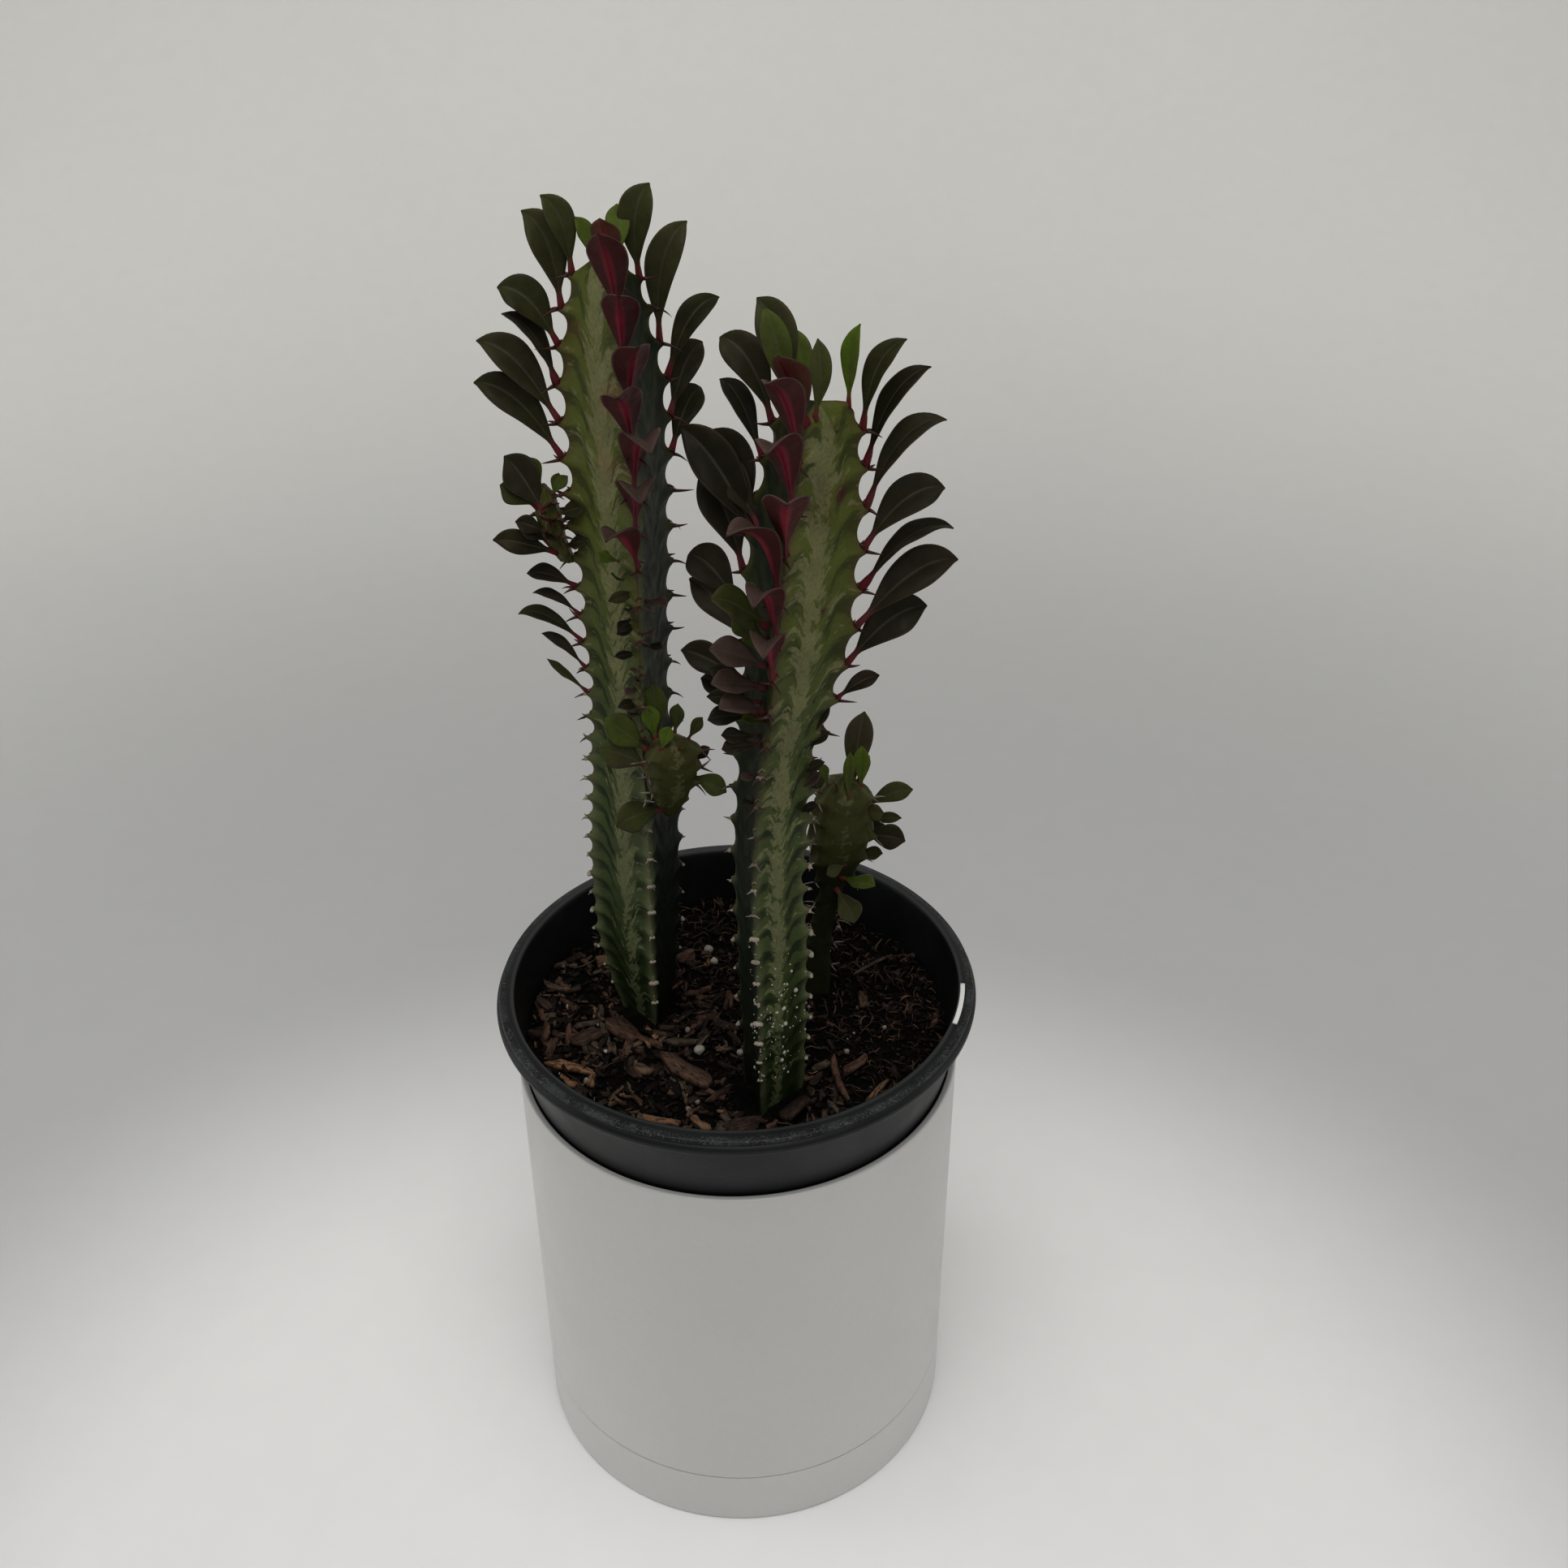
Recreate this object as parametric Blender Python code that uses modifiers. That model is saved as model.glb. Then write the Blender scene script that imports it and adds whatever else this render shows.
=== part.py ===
# Potted euphorbia: three ribbed stems with their leaves, standing in a plastic nursery pot
# that sits inside a ceramic cylinder planter on its own saucer.
# Metres, +Z up. The origin is the centre of the saucer's underside.

import math

import bmesh
import bpy
from mathutils import Vector

# ---------------------------------------------------------------- driving dimensions

GAP = 0.0003                  # clearance that touching pieces keep

PLANTER_RADIUS = 0.0772       # outside of the ceramic cylinder and of its saucer
PLANTER_WALL = 0.0024
PLANTER_HEIGHT = 0.1404       # from the seam to the rim
PLANTER_FLOOR = 0.005
PLANTER_DRAIN = 0.009         # radius of the hole in the planter's floor
SPIGOT_DEPTH = 0.003          # the ring that locates the planter inside its saucer
SPIGOT_WIDTH = 0.007

SAUCER_HEIGHT = 0.0236
SAUCER_WALL = 0.0030
SAUCER_FLOOR = 0.004
SAUCER_EDGE = 0.0015          # rounding of the bottom edge

POT_SHOWS = 0.0296            # plastic pot above the planter's rim
POT_WALL = 0.0018
POT_FIT = 0.0005              # radial clearance inside the planter's rim
POT_LIP = 0.0082              # how far the lip stands out past the entry into the planter
POT_LIP_DEPTH = 0.0056        # height of the lip's band
POT_LIP_WIDTH = 0.0064        # width of the lip seen from above
POT_COLLAR_FLARE = 0.182      # outward slope of the collar under the lip
POT_COLLAR_DEPTH = 0.0300
POT_BASE_RADIUS = 0.0600
POT_HOLE_RADIUS = 0.005
POT_HOLES = 6

SOIL_BELOW_LIP = 0.0195
SOIL_CROWN = 0.0015           # how much the middle of the soil stands above its edge
STEM_FIT = 0.0004             # clearance round a stem in its soil
STEM_RINGS = 0.0042           # spacing of the sections along a stem
SOCKET_TOP = 0.012            # the sockets' cutters end this far above the soil

STEM_FACE = 0.46              # middle of a stem face, as a share of the rib's radius
TOOTH_DEPTH = 0.0036          # how far a rib sinks between two teeth
TOOTH_SHARPNESS = 1.7

LEAF_THICKNESS = 0.0008
LEAF_FOLD = 24                # degrees that each half of a leaf is raised
LEAF_ARCH = 34                # degrees that a leaf bends outward along its length
LEAF_STALK = 0.0008           # half width of a leaf's stalk
LEAF_ABOVE_TOOTH = 0.0012
LEAF_SCALE = 1.0              # all leaves together

CHIP_THICKNESS = 0.0016

TURN_STEPS = 48

# heights that follow from those sizes
SEAM = SAUCER_HEIGHT + GAP
PLANTER_TOP = SEAM + PLANTER_HEIGHT
POT_BASE = SEAM + PLANTER_FLOOR + GAP
POT_TOP = PLANTER_TOP + POT_SHOWS
SOIL_EDGE = POT_TOP - SOIL_BELOW_LIP
SOIL_TOP = SOIL_EDGE + SOIL_CROWN
ENTRY_RADIUS = PLANTER_RADIUS - PLANTER_WALL - POT_FIT    # plastic wall at the planter's rim

# Each stem: knots of its middle line as (height over the soil, x, y, rib radius at the teeth),
# the directions of its three ribs, and for each rib the height of its first tooth, the pitch
# of the teeth, and how much that pitch shrinks from one tooth to the next.
STEMS = {
    "stem_left": {
        "knots": [(-0.026, -0.0312, 0.005, 0.0080), (0.000, -0.0312, 0.005, 0.0105),
                  (0.012, -0.0314, 0.005, 0.0150), (0.030, -0.0320, 0.005, 0.0185),
                  (0.070, -0.0310, 0.005, 0.0195), (0.100, -0.0307, 0.005, 0.0178),
                  (0.125, -0.0305, 0.005, 0.0166), (0.150, -0.0300, 0.005, 0.0180),
                  (0.205, -0.0294, 0.005, 0.0205), (0.225, -0.0296, 0.005, 0.0200),
                  (0.246, -0.0305, 0.005, 0.0165), (0.256, -0.0313, 0.005, 0.0125),
                  (0.262, -0.0316, 0.005, 0.0050)],
        "ribs": {"outer": (166, 0.2635, 0.0127, 0.00030), "front": (284, 0.2645, 0.0126, 0.00011),
                 "rear": (46, 0.2600, 0.0114, 0.0)},
    },
    "stem_right": {
        "knots": [(-0.026, 0.0115, -0.038, 0.0090), (0.000, 0.0115, -0.038, 0.0120),
                  (0.025, 0.0115, -0.038, 0.0145), (0.060, 0.0111, -0.038, 0.0150),
                  (0.081, 0.0104, -0.038, 0.0147), (0.108, 0.0114, -0.038, 0.0154),
                  (0.128, 0.0128, -0.038, 0.0156), (0.146, 0.0163, -0.038, 0.0184),
                  (0.168, 0.0184, -0.038, 0.0215), (0.192, 0.0206, -0.038, 0.0206),
                  (0.206, 0.0221, -0.038, 0.0196), (0.216, 0.0232, -0.038, 0.0174),
                  (0.226, 0.0243, -0.038, 0.0148), (0.234, 0.0255, -0.038, 0.0070)],
        "ribs": {"outer": (17, 0.2345, 0.0142, 0.00042), "front": (257, 0.2420, 0.0136, 0.00030),
                 "rear": (137, 0.2420, 0.0115, 0.0)},
    },
    "stem_short": {
        "knots": [(-0.026, 0.0252, 0.016, 0.0060), (0.000, 0.0257, 0.016, 0.0075),
                  (0.026, 0.0297, 0.018, 0.0080), (0.046, 0.0340, 0.019, 0.0096),
                  (0.064, 0.0366, 0.020, 0.0114), (0.078, 0.0376, 0.020, 0.0092),
                  (0.086, 0.0383, 0.020, 0.0040)],
        "ribs": {"outer": (8, 0.0850, 0.0090, 0.0), "front": (248, 0.0850, 0.0090, 0.0),
                 "rear": (128, 0.0850, 0.0090, 0.0)},
    },
    "shoot_side": {
        "knots": [(0.0835, -0.0205, 0.0012, 0.0018), (0.0900, -0.0196, -0.0046, 0.0024),
                  (0.0980, -0.0186, -0.0090, 0.0058), (0.1085, -0.0178, -0.0112, 0.0086),
                  (0.1160, -0.0170, -0.0122, 0.0072), (0.1215, -0.0165, -0.0126, 0.0026)],
        "ribs": {"outer": (350, 0.1210, 0.0078, 0.0), "front": (230, 0.1210, 0.0078, 0.0),
                 "rear": (110, 0.1210, 0.0078, 0.0)},
    },
    "shoot_small": {
        "knots": [(0.1705, -0.0502, 0.0098, 0.0014), (0.1770, -0.0526, 0.0102, 0.0028),
                  (0.1850, -0.0536, 0.0104, 0.0030), (0.1905, -0.0541, 0.0105, 0.0024),
                  (0.1940, -0.0545, 0.0106, 0.0012)],
        "ribs": {"outer": (180, 0.1930, 0.0060, 0.0), "front": (300, 0.1930, 0.0060, 0.0),
                 "rear": (60, 0.1930, 0.0060, 0.0)},
    },
}

# Each rib's leaves, from the top down: tooth number, length, width (both mm), swing from the
# rib's direction, rise above level, and roll about the leaf's own length (all degrees).
LEAVES = {
    ("stem_left", "outer"): [
        (0, 12, 6, 0, 66, -40), (1, 21, 9, 0, 72, -45), (2, 26, 12, 0, 68, -50),
        (3, 23, 12, 0, 44, -50), (4, 24, 10, 0, 56, -12), (5, 31, 12, 0, 39, -50),
        (6, 33, 12, 0, 39, -50), (10, 15, 7, 0, 10, -35), (11, 15, 5, 0, 24, -15),
        (12, 22, 6, 0, 19, -30), (13, 16, 5, 0, 33, -15), (14, 15, 5, 0, 40, 0)],
    ("stem_left", "front"): [
        (1, 17, 10, -15, 70, 0), (2, 32, 13, -13, 53, 0), (3, 30, 13, -8, 44, 0),
        (4, 28, 13, -4, 46, 0), (5, 30, 14, -12, 45, 0), (6, 30, 14, -3, 41, 0),
        (7, 27, 14, -8, 39, 0), (8, 24, 12, -28, 41, 0)],
    ("stem_left", "rear"): [
        (1, 25, 11, 0, 82, 30), (3, 35, 11, 0, 75, 30), (4, 29, 9, 0, 48, 30),
        (5, 24, 10, 8, 43, 30), (6, 23, 10, 16, 38, 30)],
    ("stem_right", "outer"): [
        (0, 20, 7, 0, 75, 45), (1, 26, 8, 0, 67, 35), (2, 31, 8, 0, 56, 25),
        (3, 33, 9, 0, 48, 25), (4, 29, 12, 0, 38, 50), (5, 32, 10, 0, 28, 5),
        (6, 34, 13, 0, 26, 50), (7, 28, 13, 0, 32, 55), (8, 13, 6, 0, 22, 35)],
    ("stem_right", "front"): [
        (1, 26, 12, -9, 50, 0), (2, 32, 12, -5, 57, 0), (3, 33, 14, 0, 48, 0),
        (4, 33, 15, 10, 46, 0), (5, 33, 12, -33, 52, 0), (6, 28, 12, -8, 45, 0),
        (7, 27, 12, -2, 40, 0)],
    ("stem_right", "rear"): [
        (1, 27, 12, 0, 62, -40), (2, 27, 12, 0, 53, -40), (3, 24, 8, 0, 44, -20),
        (5, 29, 14, 0, 61, -45), (6, 29, 14, 0, 54, -45), (7, 22, 13, 0, 30, -45)],
}

# The largest bark chips on the soil: length, width (mm), distance from the middle, bearing, turn.
CHIPS = [(14, 9, 0.0521, 294, 60), (26, 9, 0.0351, 244, 134), (21, 4, 0.0615, 205, 165)]


# ---------------------------------------------------------------- scene, material, helpers

def clear_scene():
    for item in list(bpy.data.objects):
        bpy.data.objects.remove(item)


def new_collection(name):
    group = bpy.data.collections.new(name)
    bpy.context.scene.collection.children.link(group)
    return group


def new_material(name, colour, roughness):
    material = bpy.data.materials.new(name)
    material.use_nodes = True
    shader = material.node_tree.nodes["Principled BSDF"]
    shader.inputs["Base Color"].default_value = (*colour, 1.0)
    shader.inputs["Roughness"].default_value = roughness
    shader.inputs["Metallic"].default_value = 0.0
    return material


def new_object(name, bm, material, group, smooth_angle=35):
    """Turn a bmesh into a named object with its material."""
    mesh = bpy.data.meshes.new(name)
    bm.to_mesh(mesh)
    bm.free()
    mesh.shade_smooth()
    mesh.set_sharp_from_angle(angle=math.radians(smooth_angle))
    if material is not None:
        mesh.materials.append(material)
    item = bpy.data.objects.new(name, mesh)
    group.objects.link(item)
    return item


def arc(centre_r, centre_z, radius, start, end, count):
    """Points of a round edge in a turned outline, by angle in degrees."""
    points = []
    for i in range(count + 1):
        angle = math.radians(start + (end - start) * i / count)
        points.append((centre_r + radius * math.cos(angle), centre_z + radius * math.sin(angle)))
    return points


def turned(name, outline, closed, material, group):
    """A turned piece: the outline runs down its outer side and is screwed round +Z."""
    bm = bmesh.new()
    verts = [bm.verts.new((r, 0.0, z)) for r, z in outline]
    for first, second in zip(verts, verts[1:]):
        bm.edges.new((first, second))
    if closed:
        bm.edges.new((verts[-1], verts[0]))
    item = new_object(name, bm, material, group)
    screw = item.modifiers.new("Turn", "SCREW")
    screw.axis = "Z"
    screw.angle = math.tau
    screw.steps = TURN_STEPS
    screw.render_steps = TURN_STEPS
    screw.use_merge_vertices = True
    screw.merge_threshold = 0.00001
    screw.use_normal_calculate = True
    return item


def cut(item, cutter):
    boolean = item.modifiers.new("Cut " + cutter.name, "BOOLEAN")
    boolean.operation = "DIFFERENCE"
    boolean.solver = "EXACT"
    boolean.object = cutter


def as_cutter(item):
    item.hide_render = True
    item.display_type = "WIRE"
    return item


# ---------------------------------------------------------------- saucer, planter, plastic pot

def make_saucer(group):
    inner = PLANTER_RADIUS - SAUCER_WALL
    outline = [(PLANTER_RADIUS - 0.0006, SAUCER_HEIGHT), (PLANTER_RADIUS, SAUCER_HEIGHT - 0.0006)]
    outline += arc(PLANTER_RADIUS - SAUCER_EDGE, SAUCER_EDGE, SAUCER_EDGE, 0, -90, 3)
    outline += [(0.0, 0.0), (0.0, SAUCER_FLOOR), (inner - 0.002, SAUCER_FLOOR),
                (inner, SAUCER_FLOOR + 0.002), (inner, SAUCER_HEIGHT)]
    # the outline starts and ends at the rim, so the rim's flat top closes it
    return turned("planter_saucer", outline, True, new_material("glaze", (0.72, 0.72, 0.69), 0.35),
                  group)


def make_planter(group):
    inner = PLANTER_RADIUS - PLANTER_WALL
    middle = PLANTER_RADIUS - PLANTER_WALL / 2
    round_radius = PLANTER_WALL / 2
    floor_top = SEAM + PLANTER_FLOOR
    spigot = PLANTER_RADIUS - SAUCER_WALL - GAP - 0.0002
    outline = arc(middle, PLANTER_TOP - round_radius, round_radius, 90, 0, 3)
    outline += [(PLANTER_RADIUS, SEAM + 0.0006), (PLANTER_RADIUS - 0.0006, SEAM),
                (spigot, SEAM), (spigot, SEAM - SPIGOT_DEPTH),
                (spigot - SPIGOT_WIDTH, SEAM - SPIGOT_DEPTH), (spigot - SPIGOT_WIDTH, SEAM),
                (PLANTER_DRAIN, SEAM), (PLANTER_DRAIN, floor_top),
                (inner - 0.003, floor_top), (inner, floor_top + 0.003)]
    outline += arc(middle, PLANTER_TOP - round_radius, round_radius, 180, 120, 2)
    return turned("planter", outline, True, new_material("glaze_body", (0.72, 0.72, 0.69), 0.35),
                  group)


def pot_outline():
    """Outer side of the plastic pot from lip to base, and its inner side back up."""
    wall_top = POT_TOP - POT_LIP_DEPTH - 0.0003
    rim_wall = ENTRY_RADIUS + POT_COLLAR_FLARE * (wall_top - PLANTER_TOP)
    lip = ENTRY_RADIUS + POT_LIP
    collar_base = POT_TOP - POT_LIP_DEPTH - POT_COLLAR_DEPTH
    collar_radius = ENTRY_RADIUS - POT_COLLAR_FLARE * (PLANTER_TOP - collar_base)
    base_radius = min(POT_BASE_RADIUS, collar_radius - 0.004)
    outer = [(lip - 0.0016, POT_TOP), (lip - 0.0003, POT_TOP - 0.0013),
             (lip, POT_TOP - 0.0030), (lip, POT_TOP - POT_LIP_DEPTH),
             (min(rim_wall, lip - 0.001), wall_top), (collar_radius, collar_base),
             (base_radius, POT_BASE)]
    inner = [(0.0, POT_BASE), (0.0, POT_BASE + POT_WALL),
             (base_radius - POT_WALL, POT_BASE + POT_WALL),
             (collar_radius - POT_WALL, collar_base),
             (lip - POT_LIP_WIDTH, POT_TOP - 0.0030), (lip - POT_LIP_WIDTH + 0.0008, POT_TOP)]
    return outer, inner


def make_plastic_pot(group, cutters):
    outer, inner = pot_outline()
    pot = turned("nursery_pot", outer + inner, True,
                 new_material("black_plastic", (0.018, 0.020, 0.021), 0.45), group)
    base_radius = outer[-1][0]
    for i in range(POT_HOLES):
        bearing = math.tau * i / POT_HOLES
        bm = bmesh.new()
        bmesh.ops.create_cone(bm, cap_ends=True, segments=12, radius1=POT_HOLE_RADIUS,
                              radius2=POT_HOLE_RADIUS, depth=POT_WALL * 4)
        hole = new_object(f"drain_cutter_{i + 1}", bm, None, cutters)
        reach = base_radius * 0.7
        hole.location = (reach * math.cos(bearing), reach * math.sin(bearing), POT_BASE)
        cut(pot, as_cutter(hole))
    return pot


def soil_radius(height):
    """Inside radius of the plastic pot at a height, less the gap."""
    inner = pot_outline()[1]
    low, high = inner[3], inner[4]
    if height < low[1]:
        low, high = inner[2], inner[3]
    share = (height - low[1]) / (high[1] - low[1])
    return low[0] + (high[0] - low[0]) * share - GAP


def make_soil(group, cutters):
    base = POT_BASE + POT_WALL + GAP
    collar = pot_outline()[1][3][1]
    outline = [(0.0, SOIL_TOP), (0.045, SOIL_TOP - SOIL_CROWN * 0.3),
               (soil_radius(SOIL_EDGE), SOIL_EDGE), (soil_radius(collar), collar),
               (soil_radius(base), base), (0.0, base)]
    soil = turned("potting_mix", outline, False,
                  new_material("potting_mix", (0.045, 0.028, 0.018), 0.95), group)
    for name in ("stem_left", "stem_right", "stem_short"):
        heights = [h for h in ring_heights(name) if h < SOCKET_TOP]
        heights[0] -= STEM_FIT
        socket = stem_mesh(name, heights, STEM_FIT)
        cut(soil, as_cutter(new_object("socket_" + name, socket, None, cutters)))
    return soil


# ---------------------------------------------------------------- stems

def stem_middle(name, height):
    """Middle of a stem and its rib radius at a height over the soil."""
    knots = STEMS[name]["knots"]
    if height <= knots[0][0]:
        low, high = knots[0], knots[1]
    elif height >= knots[-1][0]:
        return Vector((knots[-1][1], knots[-1][2], SOIL_TOP + height)), knots[-1][3]
    else:
        low, high = next((a, b) for a, b in zip(knots, knots[1:]) if a[0] <= height <= b[0])
    share = (height - low[0]) / (high[0] - low[0])
    x, y, radius = (low[i] + (high[i] - low[i]) * share for i in (1, 2, 3))
    return Vector((x, y, SOIL_TOP + height)), radius


def tooth_height(name, rib, number):
    """Teeth crowd together at the tip, and their pitch shrinks slowly towards the soil."""
    _, height, pitch, shrink = STEMS[name]["ribs"][rib]
    for k in range(number):
        height -= max(0.6 * pitch, pitch * (1.0 - 0.57 * math.exp(-k)) - shrink * (k + 0.5))
    return height


def tooth_wave(name, rib, height):
    """1 on a tooth of the rib, falling to 0 half way to the next one and at the soil."""
    pitch = STEMS[name]["ribs"][rib][2]
    nearest = min(abs(height - tooth_height(name, rib, n)) for n in range(40))
    rooted = min(1.0, max(0.0, height / SOCKET_TOP))
    return rooted * max(0.0, 1.0 - 2.0 * nearest / pitch) ** TOOTH_SHARPNESS


def ring_heights(name):
    """Heights over the soil of the sections of a stem."""
    bottom, top = STEMS[name]["knots"][0][0], STEMS[name]["knots"][-1][0]
    rings = max(8, round((top - bottom) / STEM_RINGS))
    return [bottom + (top - bottom) * i / rings for i in range(rings + 1)]


def stem_mesh(name, heights, extra=0.0):
    """Loft of three-ribbed sections. A section is a triangle with rounded corners on the ribs."""
    ribs = STEMS[name]["ribs"]
    bm = bmesh.new()
    loops = []
    for height in heights:
        centre, radius = stem_middle(name, height)
        ring = []
        for bearing, rib in sorted((ribs[rib][0], rib) for rib in ribs):
            depth = min(TOOTH_DEPTH, 0.3 * radius) * (1.0 - tooth_wave(name, rib, height))
            for offset in (-60, -32, -12, 0, 12, 32):
                nearness = math.cos(math.radians(offset)) ** 10
                flat = STEM_FACE * radius / math.cos(math.radians(60 - abs(offset)))
                reach = flat + (radius - flat - depth) * nearness
                angle = math.radians(bearing + offset)
                step = Vector((math.cos(angle), math.sin(angle), 0.0)) * (reach + extra)
                ring.append(bm.verts.new(centre + step))
        loops.append(ring)
    count = len(loops[0])
    for low, high in zip(loops, loops[1:]):
        for j in range(count):
            k = (j + 1) % count
            bm.faces.new((low[j], low[k], high[k], high[j]))
    bm.faces.new(list(reversed(loops[0])))
    bm.faces.new(loops[-1])
    return bm


def make_stems(group):
    green = new_material("stem_skin", (0.075, 0.110, 0.045), 0.55)
    for name in STEMS:
        new_object(name, stem_mesh(name, ring_heights(name)), green, group, 60)


# ---------------------------------------------------------------- leaves

def leaf_width(share):
    """Half width along a leaf, 0 to 1: a stalk, then an egg shape that is widest near the tip."""
    if share < 0.16:
        return 0.0
    blade = (share - 0.16) / 0.84
    return math.sin(math.pi * blade ** 1.45) ** 0.8 if blade < 1 else 0.0


def leaf_start(stem, rib, number):
    """A leaf starts just clear of its tooth."""
    bearing = math.radians(STEMS[stem]["ribs"][rib][0])
    centre, radius = stem_middle(stem, tooth_height(stem, rib, number))
    outward = Vector((math.cos(bearing), math.sin(bearing), 0.0))
    return centre + outward * (radius + GAP) + Vector((0.0, 0.0, LEAF_ABOVE_TOOTH))


def leaf_mesh(stem, rib, leaf):
    """A grid that follows an arched midrib, folded along it like a shallow V."""
    number, length, width, swing, rise, roll = leaf
    heading = math.radians(STEMS[stem]["ribs"][rib][0] + swing)
    rise = math.radians(rise)
    roll = math.radians(roll)
    length *= 0.001 * LEAF_SCALE
    half = 0.0005 * width * LEAF_SCALE
    arch = math.radians(LEAF_ARCH) * min(1.0, length / 0.025)
    shares = (0.0, 0.16, 0.36, 0.56, 0.76, 0.92, 1.0)
    level = Vector((math.cos(heading), math.sin(heading), 0.0))
    across_flat = Vector((-math.sin(heading), math.cos(heading), 0.0))
    up = Vector((0.0, 0.0, 1.0))
    bm = bmesh.new()
    rows = []
    point = leaf_start(stem, rib, number)
    for i, share in enumerate(shares):
        slope = rise + arch * (0.5 - share)
        along = level * math.cos(slope) + up * math.sin(slope)
        if i:
            point = point + along * (length * (share - shares[i - 1]))
        normal = across_flat.cross(along) * -1.0
        across = across_flat * math.cos(roll) + normal * math.sin(roll)
        normal = normal * math.cos(roll) - across_flat * math.sin(roll)
        reach = max(LEAF_STALK * (0.6 if i == len(shares) - 1 else 1.0), half * leaf_width(share))
        lift = math.radians(LEAF_FOLD)
        side = across * (reach * math.cos(lift))
        raised = normal * (reach * math.sin(lift))
        rows.append([bm.verts.new(point + side + raised), bm.verts.new(point),
                     bm.verts.new(point - side + raised)])
    for low, high in zip(rows, rows[1:]):
        for j in range(2):
            bm.faces.new((low[j], low[j + 1], high[j + 1], high[j]))
    bmesh.ops.recalc_face_normals(bm, faces=bm.faces)
    return bm


def make_leaves(group):
    leaf_green = new_material("leaf_skin", (0.050, 0.050, 0.028), 0.38)
    for (stem, rib), leaves in LEAVES.items():
        for leaf in leaves:
            name = f"leaf_{stem.split('_')[1]}_{rib}_{leaf[0] + 1:02d}"
            item = new_object(name, leaf_mesh(stem, rib, leaf), leaf_green, group)
            solid = item.modifiers.new("Thickness", "SOLIDIFY")
            solid.thickness = LEAF_THICKNESS
            solid.offset = 0.0


# ---------------------------------------------------------------- bark chips

def make_chips(group):
    """Flat five-sided flakes lying on the soil."""
    bark = new_material("bark", (0.115, 0.060, 0.035), 0.85)
    reach_limit = soil_radius(SOIL_EDGE)
    for number, (length, width, distance, bearing, turn) in enumerate(CHIPS, 1):
        centre_angle = math.radians(bearing)
        place = min(distance, reach_limit - 0.0006 * length)
        centre = Vector((place * math.cos(centre_angle), place * math.sin(centre_angle), 0.0))
        spin = math.radians(turn)
        along = Vector((math.cos(spin), math.sin(spin), 0.0)) * (length * 0.0005)
        across = Vector((-math.sin(spin), math.cos(spin), 0.0)) * (width * 0.0005)
        corners = [along, along * 0.3 + across, -along + across * 0.5, -along * 0.8 - across * 0.8,
                   along * 0.5 - across]
        bm = bmesh.new()
        bm.faces.new([bm.verts.new(centre + c + Vector((0, 0, SOIL_TOP + GAP))) for c in corners])
        chip = new_object(f"bark_chip_{number}", bm, bark, group, 20)
        solid = chip.modifiers.new("Thickness", "SOLIDIFY")
        solid.thickness = CHIP_THICKNESS
        solid.offset = 1.0


def main():
    clear_scene()
    group = new_collection("potted_euphorbia")
    cutters = new_collection("cutters")
    make_saucer(group)
    make_planter(group)
    make_plastic_pot(group, cutters)
    make_soil(group, cutters)
    make_stems(group)
    make_leaves(group)
    make_chips(group)


main()
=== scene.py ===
import math

import bpy
import numpy as np
from mathutils import Matrix, Vector
from mathutils.bvhtree import BVHTree


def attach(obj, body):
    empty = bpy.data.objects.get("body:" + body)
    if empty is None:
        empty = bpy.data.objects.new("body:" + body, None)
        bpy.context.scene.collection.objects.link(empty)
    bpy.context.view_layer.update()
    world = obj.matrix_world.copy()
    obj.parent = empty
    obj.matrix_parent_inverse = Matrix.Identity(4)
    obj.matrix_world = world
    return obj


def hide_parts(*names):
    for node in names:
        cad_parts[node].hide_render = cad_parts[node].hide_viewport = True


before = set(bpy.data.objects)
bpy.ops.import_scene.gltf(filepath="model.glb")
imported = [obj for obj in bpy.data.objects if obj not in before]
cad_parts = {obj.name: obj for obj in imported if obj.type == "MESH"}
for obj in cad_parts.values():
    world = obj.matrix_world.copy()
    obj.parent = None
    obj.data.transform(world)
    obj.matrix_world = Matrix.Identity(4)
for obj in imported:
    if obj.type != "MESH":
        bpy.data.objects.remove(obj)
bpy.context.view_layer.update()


# noise and small number helpers

# large odd numbers that turn a lattice corner into a key, then shifts and factors that mix its bits
cornerKeys = np.array([73856093, 19349663, 83492791])
keyMixers = ((13, 1274126177), (11, 668265263))


def cloudValue(points, cell, seed):
    # random numbers on a lattice of this cell size, blended with smooth weights between corners
    grid = points / cell
    low = np.floor(grid).astype(np.int64)
    part = grid - low
    part = part * part * (3.0 - 2.0 * part)
    total = np.zeros(points.shape[:-1])
    for corner in range(8):
        step = np.array([corner & 1, (corner >> 1) & 1, (corner >> 2) & 1])
        at = low + step
        key = np.bitwise_xor.reduce(at * cornerKeys, axis=-1)
        key = (key ^ (seed * 40503)) & 0x7fffffff
        for shift, scramble in keyMixers:
            key = ((key ^ (key >> shift)) * scramble) & 0x7fffffff
        weight = np.prod(np.where(step == 1, part, 1.0 - part), axis=-1)
        total += weight * ((key >> 7) & 0xffff) / 65535.0
    return total


def layeredCloud(points, cell, seed, layers=3):
    # each layer has half the cell and half the weight of the one before; the mean is about 0.5
    total = np.zeros(points.shape[:-1])
    whole = 0.0
    for layer in range(layers):
        weight = 0.5 ** layer
        total += weight * cloudValue(points, cell * 0.5 ** layer, seed + 17 * layer)
        whole += weight
    return total / whole


def smoothStep(value, low, high):
    part = np.clip((value - low) / (high - low), 0.0, 1.0)
    return part * part * (3.0 - 2.0 * part)


def smoothTrack(at, knots, values, reach):
    # a straight-line track through the knots, averaged over a window of this reach
    offsets = np.linspace(-reach, reach, 9)
    return np.mean([np.interp(at + offset, knots, values) for offset in offsets], axis=0)


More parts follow.
